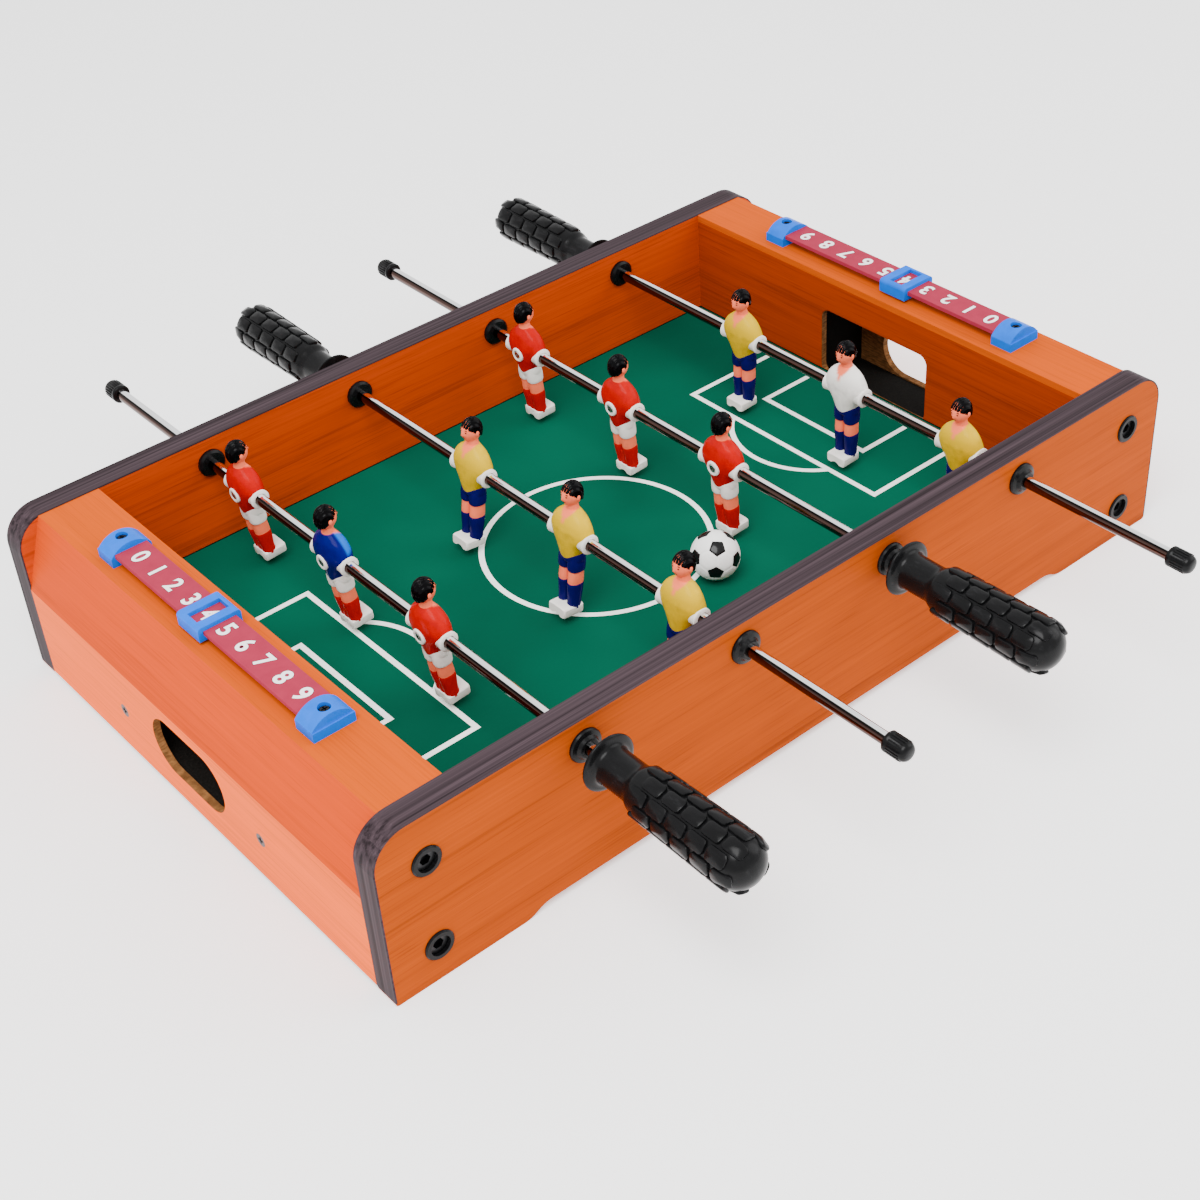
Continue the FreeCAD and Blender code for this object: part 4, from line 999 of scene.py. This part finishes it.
class FOOSBALL_OT_ball(Operator):
    """Mould the ball from white hexagons and black pentagons"""
    bl_idname = "foosball.ball"
    bl_label = "Ball"

    def execute(self, context):
        s = context.scene.foosball_ball
        low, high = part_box("ball")
        radius = (high.z - low.z) / 2
        corners, panels = ball_panels()
        turn = ball_turn(corners)
        steps, points, faces, finishes = 8, [], [], []
        for loop, finish in panels:
            middle = sum(loop, Vector()) / len(loop)
            for i, here in enumerate(loop):
                there = loop[(i + 1) % len(loop)]
                rows = []
                for k in range(steps + 1):
                    rows.append([])
                    for m in range(k + 1):
                        t = m / k if k else 0.0
                        flat = middle.lerp(here.lerp(there, t), k / steps)
                        rounded = flat.normalized() * (1 - s.flatness * (1 - flat.length) * 0.5)
                        seam = s.seam / radius * smoothstep(0.80, 1.0, k / steps)
                        rows[-1].append(len(points))
                        points.append(turn @ rounded * (radius * (1 - seam)))
                for k in range(steps):
                    for m in range(k + 1):
                        faces.append((rows[k][m], rows[k + 1][m], rows[k + 1][m + 1]))
                        finishes.append(finish)
                        if m < k:
                            faces.append((rows[k][m], rows[k + 1][m + 1], rows[k][m + 1]))
                            finishes.append(finish)
        mesh = bpy.data.meshes.new("ball_panels")
        mesh.from_pydata(points, [], faces)
        mesh.materials.append(plastic("ball_white", tuple(s.white), 0.34, 0.0, 0.03))
        mesh.materials.append(plastic("ball_black", tuple(s.black), 0.26, 0.3, 0.3))
        mesh.polygons.foreach_set("material_index", finishes)
        mesh.transform(Matrix.Translation((low + high) / 2))
        piece = placed("ball_panels", tidy_mesh(mesh, 60.0, 1e-6))
        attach(piece, "ball")
        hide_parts("ball")
        return {"FINISHED"}


# ------------------------------------------------------------------ pitch markings
def line_strip(points, width, base, top, closed=False):
    """A closed flat strip of the given width along (x, y) points, mitred at its corners."""
    count = len(points)
    left, right = [], []
    for i, point in enumerate(points):
        here = Vector(point)
        before = Vector(points[(i - 1) % count]) if closed or i else None
        after = Vector(points[(i + 1) % count]) if closed or i < count - 1 else None
        into = (here - before).normalized() if before else (after - here).normalized()
        out = (after - here).normalized() if after else into
        normal_in = Vector((-into.y, into.x))
        normal = (normal_in + Vector((-out.y, out.x))).normalized()
        reach = width / 2 / max(normal.dot(normal_in), 0.3)
        left.append(here + normal * reach)
        right.append(here - normal * reach)
    verts = [(p.x, p.y, z) for z in (base, top) for p in left + right]
    at = lambda level, side, i: level * 2 * count + side * count + i % count
    faces = []
    for i in range(count if closed else count - 1):
        for quad in (((0, 0), (0, 1)), ((0, 1), (1, 1)), ((1, 1), (1, 0)), ((1, 0), (0, 0))):
            (l1, s1), (l2, s2) = quad
            faces.append((at(l1, s1, i), at(l1, s1, i + 1), at(l2, s2, i + 1), at(l2, s2, i)))
    if not closed:
        for i in (0, count - 1):
            faces.append((at(0, 0, i), at(0, 1, i), at(1, 1, i), at(1, 0, i)))
    return verts, faces


class FOOSBALL_OT_markings(Operator):
    """Print the white lines on the pitch"""
    bl_idname = "foosball.markings"
    bl_label = "Pitch markings"

    def execute(self, context):
        s = context.scene.foosball_markings
        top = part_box("playfield_board")[1].z
        base, top = top - s.height / 3, top + s.height
        middle, turns = -s.shift, 96
        circle = [(middle + s.circle * math.cos(2 * math.pi * i / turns),
                   s.circle * math.sin(2 * math.pi * i / turns)) for i in range(turns)]
        strips = [(circle, True)]
        arc_radius = (s.arc_half ** 2 + s.arc_depth ** 2) / (2 * s.arc_depth)
        spread = math.asin(s.arc_half / arc_radius)
        for end in (-1, 1):
            for line, half in ((s.penalty_line, s.penalty_half), (s.goal_line, s.goal_half)):
                x = middle + end * line
                strips.append(([(end * s.stop, -half), (x, -half), (x, half), (end * s.stop, half)],
                               False))
            centre = middle + end * (s.penalty_line - s.arc_depth + arc_radius)
            arc = [(centre - end * arc_radius * math.cos(a), arc_radius * math.sin(a))
                   for a in (spread * (2 * i / 32 - 1) for i in range(33))]
            strips.append((arc, False))
        verts, faces = [], []
        for layer, (points, closed) in enumerate(strips):
            more, quads = line_strip(points, s.width, base, top - layer * s.height / 20, closed)
            faces += [tuple(len(verts) + i for i in quad) for quad in quads]
            verts += more
        mesh = bpy.data.meshes.new("pitch_markings")
        mesh.from_pydata(verts, [], faces)
        mesh.materials.append(plastic("line_print", tuple(context.scene.foosball_cabinet.lines),
                                      0.5, 0.0, 0.03))
        piece = placed("pitch_markings", tidy_mesh(mesh, 20.0, 1e-9))
        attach(piece, "cabinet")
        return {"FINISHED"}


# ------------------------------------------------------------------ score keepers
def numeral(digit, size, thicken, height):
    """One numeral as a flat closed mesh, centred on the origin and reading along +X."""
    text = bpy.data.curves.new("numeral", "FONT")
    text.body = str(digit)
    text.size = size
    text.offset = thicken
    text.extrude = height / 2
    text.resolution_u = 6
    holder = placed("numeral", text)
    bpy.context.view_layer.update()
    mesh = bpy.data.meshes.new_from_object(
        holder.evaluated_get(bpy.context.evaluated_depsgraph_get()))
    bpy.data.objects.remove(holder)
    xs, ys = [v.co.x for v in mesh.vertices], [v.co.y for v in mesh.vertices]
    mesh.transform(Matrix.Translation((-(min(xs) + max(xs)) / 2, -(min(ys) + max(ys)) / 2, 0)))
    return mesh


def numerals(name, end, settings, thicken, height, lift, material):
    """All ten numerals of one strip, joined in one piece."""
    low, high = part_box("score_strip_" + end)
    centre_x = (low.x + high.x) / 2
    side = -1 if end == "a" else 1
    turn = Matrix.Rotation(math.radians(-90 if side < 0 else 90), 4, "Z")
    work = bmesh.new()
    for digit in range(DIGITS):
        mesh = numeral(digit, settings.size, thicken, height)
        y = side * (digit - (DIGITS - 1) / 2) * settings.pitch
        mesh.transform(Matrix.Translation((centre_x, y, high.z + lift)) @ turn)
        work.from_mesh(mesh)
    joined = bpy.data.meshes.new(name)
    work.to_mesh(joined)
    work.free()
    joined.materials.clear()
    joined.materials.append(material)
    piece = placed(name, tidy_mesh(joined, 20.0, 1e-8))
    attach(piece, "cabinet")


class FOOSBALL_OT_scorers(Operator):
    """Print the numerals and finish the score strips, windows and brackets"""
    bl_idname = "foosball.scorers"
    bl_label = "Score keepers"

    def execute(self, context):
        s = context.scene.foosball_scorers
        blue = plastic("blue_plastic", tuple(s.blue), 0.24, 0.0, 0.08, 0.07)
        put_finish(blue, "strip_brackets", "score_marker_a", "score_marker_b")
        put_finish(plastic("strip_plastic", tuple(s.strip), 0.42, 0.0, 0.06, 0.06),
                   "score_strip_a", "score_strip_b")
        ink = plastic("digit_ink", tuple(s.digit), 0.5, 0.0, 0.03)
        edge = plastic("digit_edge", tuple(s.outline), 0.5, 0.0, 0.1)
        for end in ENDS:
            numerals("digits_" + end, end, s, s.weight, 0.06 * MM, 0.03 * MM, ink)
            numerals("digit_outlines_" + end, end, s, s.weight + s.edge, 0.04 * MM, 0.01 * MM, edge)
        return {"FINISHED"}


# ------------------------------------------------------------------ cabinet and metal
class FOOSBALL_OT_cabinet(Operator):
    """Finish the boards, the edge tape and the pitch"""
    bl_idname = "foosball.cabinet"
    bl_label = "Cabinet"

    def execute(self, context):
        s = context.scene.foosball_cabinet
        raw = tuple(s.raw)
        put_finish(side_laminate(s), "side_panel_near", "side_panel_far")
        put_finish(edge_tape(tuple(s.band)), "edge_bands")
        put_finish(pitch_print(s), "playfield_board")
        # Painted shade: the goal walls take the inner colour, darkened further for the shade in the goal
        # mouths.
        goal = wood("goal_wall_laminate", shaded(tuple(s.inner), 0.74), 1, 1.1, raw)
        top = wood("top_laminate", tuple(s.top), 1, 0.55)
        slope = wood("slope_laminate", tuple(s.slope), 1, 0.6)
        end_finish = wood("end_laminate", tuple(s.end), 1, 0.6, raw, True)
        board = raw_board("raw_board", raw)
        for end in ENDS:
            put_finish(goal, "goal_wall_" + end)
            put_finish(top, "top_board_" + end)
            put_finish(slope, "slope_board_" + end)
            put_finish(end_finish, "end_board_" + end)
            put_finish(board, "corner_blocks_" + end)
            # Painted shade: the goals' cheeks and tray are raw board, coloured black for the shade inside the
            # goal.
            put_finish(raw_board_black(), "goal_cheeks_" + end, "goal_tray_" + end)
        return {"FINISHED"}


def raw_board_black():
    """Raw board coloured black as painted shade, for the tray and blocks inside each goal."""
    return shared_finish("goal_shade_board", lambda: raw_board("goal_shade_board", paint(*GOAL_SHADE_BLACK)))


def chrome_tube():
    """Polished tube with a painted reflection: bright from above, a dark line and brown shade of a low
    horizon.
    """
    finish = Finish("chrome", 0.09, metallic=1.0)
    normal = finish.tree.nodes.new("ShaderNodeNewGeometry").outputs["Normal"]
    split = finish.tree.nodes.new("ShaderNodeSeparateXYZ")
    finish.link(normal, split.inputs["Vector"])
    lines = finish.noise((700.0, 24.0, 700.0), detail=3.0)
    finish.relief(lines, 0.01, 0.2)
    slant = finish.math("ADD", finish.math("MULTIPLY", split.outputs[0], 0.386),
                        finish.math("MULTIPLY", split.outputs[2], 0.318))
    painted_reflection_band = finish.math("ADD", slant, finish.math("ADD", 0.48, finish.math("MULTIPLY", lines, 0.04)))
    # Painted reflection: the ramp, read from the surface's facing, puts the horizon's light and shade into
    # the base colour.
    return finish.done(finish.tones(painted_reflection_band, ((0.00, (0.02, 0.015, 0.014)), (0.12, (0.10, 0.060, 0.052)),
                                           (0.40, (0.06, 0.034, 0.028)), (0.50, (0.006, 0.005, 0.005)),
                                           (0.61, (0.006, 0.005, 0.005)), (0.65, (0.85, 0.85, 0.86)),
                                           (0.92, (0.95, 0.95, 0.96)), (1.00, (0.25, 0.24, 0.24)))))


class FOOSBALL_OT_metal(Operator):
    """Finish the rods, bushes, bolts and screws"""
    bl_idname = "foosball.metal"
    bl_label = "Rods and fixings"

    def execute(self, context):
        chrome = chrome_tube()
        dark = metal("black_steel", (0.035, 0.035, 0.037), 0.38, 0.03)
        steel = metal("zinc_steel", (0.62, 0.62, 0.60), 0.26, 0.02)
        put_finish(dark, "panel_bolts", "end_board_screws", "bracket_screws")
        put_finish(steel, "threaded_inserts")
        put_finish(grip_black(), "bolt_cups", "rod_bushes", "bush_collars")
        for number in RODS:
            put_finish(chrome, "rod_%d_tube" % number)
            put_finish(steel, "rod_%d_player_screws" % number)
        return {"FINISHED"}


# ------------------------------------------------------------------ stage
CAMERA_AT = Vector((-0.52482, -0.67736, 0.65510))
CAMERA_LOOK = Vector((0.49439, 0.62966, -0.59925))
CAMERA_UP = Vector((0.42384, 0.42727, 0.79862))
CAMERA_SHIFT = (-0.0118, -0.0272)
FLOOR_HALF = 4.0
KEY_AT, FILL_AT = (-0.7, -0.5, 1.5), (1.3, -0.9, 1.0)


def soft_light(name, place, target, size, power):
    lamp = bpy.data.lights.new(name, "AREA")
    lamp.shape = "DISK"
    lamp.size = size
    lamp.energy = power
    holder = placed(name, lamp)
    holder.location = place
    holder.rotation_euler = (Vector(target) - Vector(place)).to_track_quat("-Z", "Y").to_euler()


class FOOSBALL_OT_stage(Operator):
    """Set the floor, the soft lights and the camera"""
    bl_idname = "foosball.stage"
    bl_label = "Stage"

    def execute(self, context):
        s = context.scene.foosball_stage
        mesh = bpy.data.meshes.new("floor")
        corners = ((-1, -1), (1, -1), (1, 1), (-1, 1))
        mesh.from_pydata([(x * FLOOR_HALF, y * FLOOR_HALF, 0) for x, y in corners], [], [(0, 1, 2, 3)])
        finish = Finish("floor_paint", 0.8, shine=0.0)
        finish.shader.inputs["Emission Color"].default_value = (*s.floor, 1.0)
        finish.shader.inputs["Emission Strength"].default_value = s.glow
        cloud = finish.noise((2.0, 2.0, 2.0))
        tone = tuple(s.floor)
        mesh.materials.append(finish.done(finish.tones(cloud, ((0.3, shaded(tone, 0.985)), (0.7, tone)))))
        floor = placed("floor", mesh)
        world = bpy.data.worlds.new("studio")
        world.use_nodes = True
        sky = world.node_tree.nodes["Background"]
        sky.inputs["Color"].default_value = (1.0, 1.0, 1.0, 1.0)
        sky.inputs["Strength"].default_value = s.sky
        context.scene.world = world
        soft_light("key_light", KEY_AT, (0, 0, 0), 1.1, s.key)
        soft_light("fill_light", FILL_AT, (0, 0, 0), 1.4, s.fill)
        lens = bpy.data.cameras.new("camera")
        lens.lens = s.lens
        lens.sensor_width = 36.0
        lens.shift_x, lens.shift_y = CAMERA_SHIFT
        lens.clip_start, lens.clip_end = 0.01, 50.0
        camera = placed("camera", lens)
        back = -CAMERA_LOOK.normalized()
        right = CAMERA_UP.cross(back).normalized()
        up = back.cross(right)
        camera.matrix_world = Matrix.Translation(CAMERA_AT) @ Matrix(
            (right, up, back)).transposed().to_4x4()
        context.scene.camera = camera
        return {"FINISHED"}


# ------------------------------------------------------------------ sidebar and registration
OPERATORS = (FOOSBALL_OT_stage, FOOSBALL_OT_cabinet, FOOSBALL_OT_metal, FOOSBALL_OT_markings,
             FOOSBALL_OT_scorers, FOOSBALL_OT_players, FOOSBALL_OT_grips, FOOSBALL_OT_caps,
             FOOSBALL_OT_ball)
SETTINGS = {
    "foosball_cabinet": CabinetSettings, "foosball_markings": MarkingSettings,
    "foosball_players": PlayerSettings, "foosball_grips": GripSettings,
    "foosball_scorers": ScorerSettings, "foosball_ball": BallSettings,
    "foosball_stage": StageSettings,
}


class FOOSBALL_PT_table(Panel):
    """The steps that dress the table"""
    bl_idname = "FOOSBALL_PT_table"
    bl_label = "Foosball table"
    bl_space_type = "VIEW_3D"
    bl_region_type = "UI"
    bl_category = "Foosball"

    def draw(self, context):
        for operator in OPERATORS:
            self.layout.operator(operator.bl_idname)
        for key, group in SETTINGS.items():
            box = self.layout.box()
            for name in group.__annotations__:
                box.prop(getattr(context.scene, key), name)


def register():
    for group in SETTINGS.values():
        bpy.utils.register_class(group)
    for key, group in SETTINGS.items():
        setattr(bpy.types.Scene, key, PointerProperty(type=group))
    for operator in OPERATORS:
        bpy.utils.register_class(operator)
    bpy.utils.register_class(FOOSBALL_PT_table)


def unregister():
    bpy.utils.unregister_class(FOOSBALL_PT_table)
    for operator in reversed(OPERATORS):
        bpy.utils.unregister_class(operator)
    for key in SETTINGS:
        delattr(bpy.types.Scene, key)
    for group in SETTINGS.values():
        bpy.utils.unregister_class(group)


def main():
    register()
    bpy.ops.foosball.stage()
    bpy.ops.foosball.cabinet()
    bpy.ops.foosball.metal()
    bpy.ops.foosball.markings()
    bpy.ops.foosball.scorers()
    bpy.ops.foosball.players()
    bpy.ops.foosball.grips()
    bpy.ops.foosball.caps()
    bpy.ops.foosball.ball()


if __name__ == "__main__":
    main()
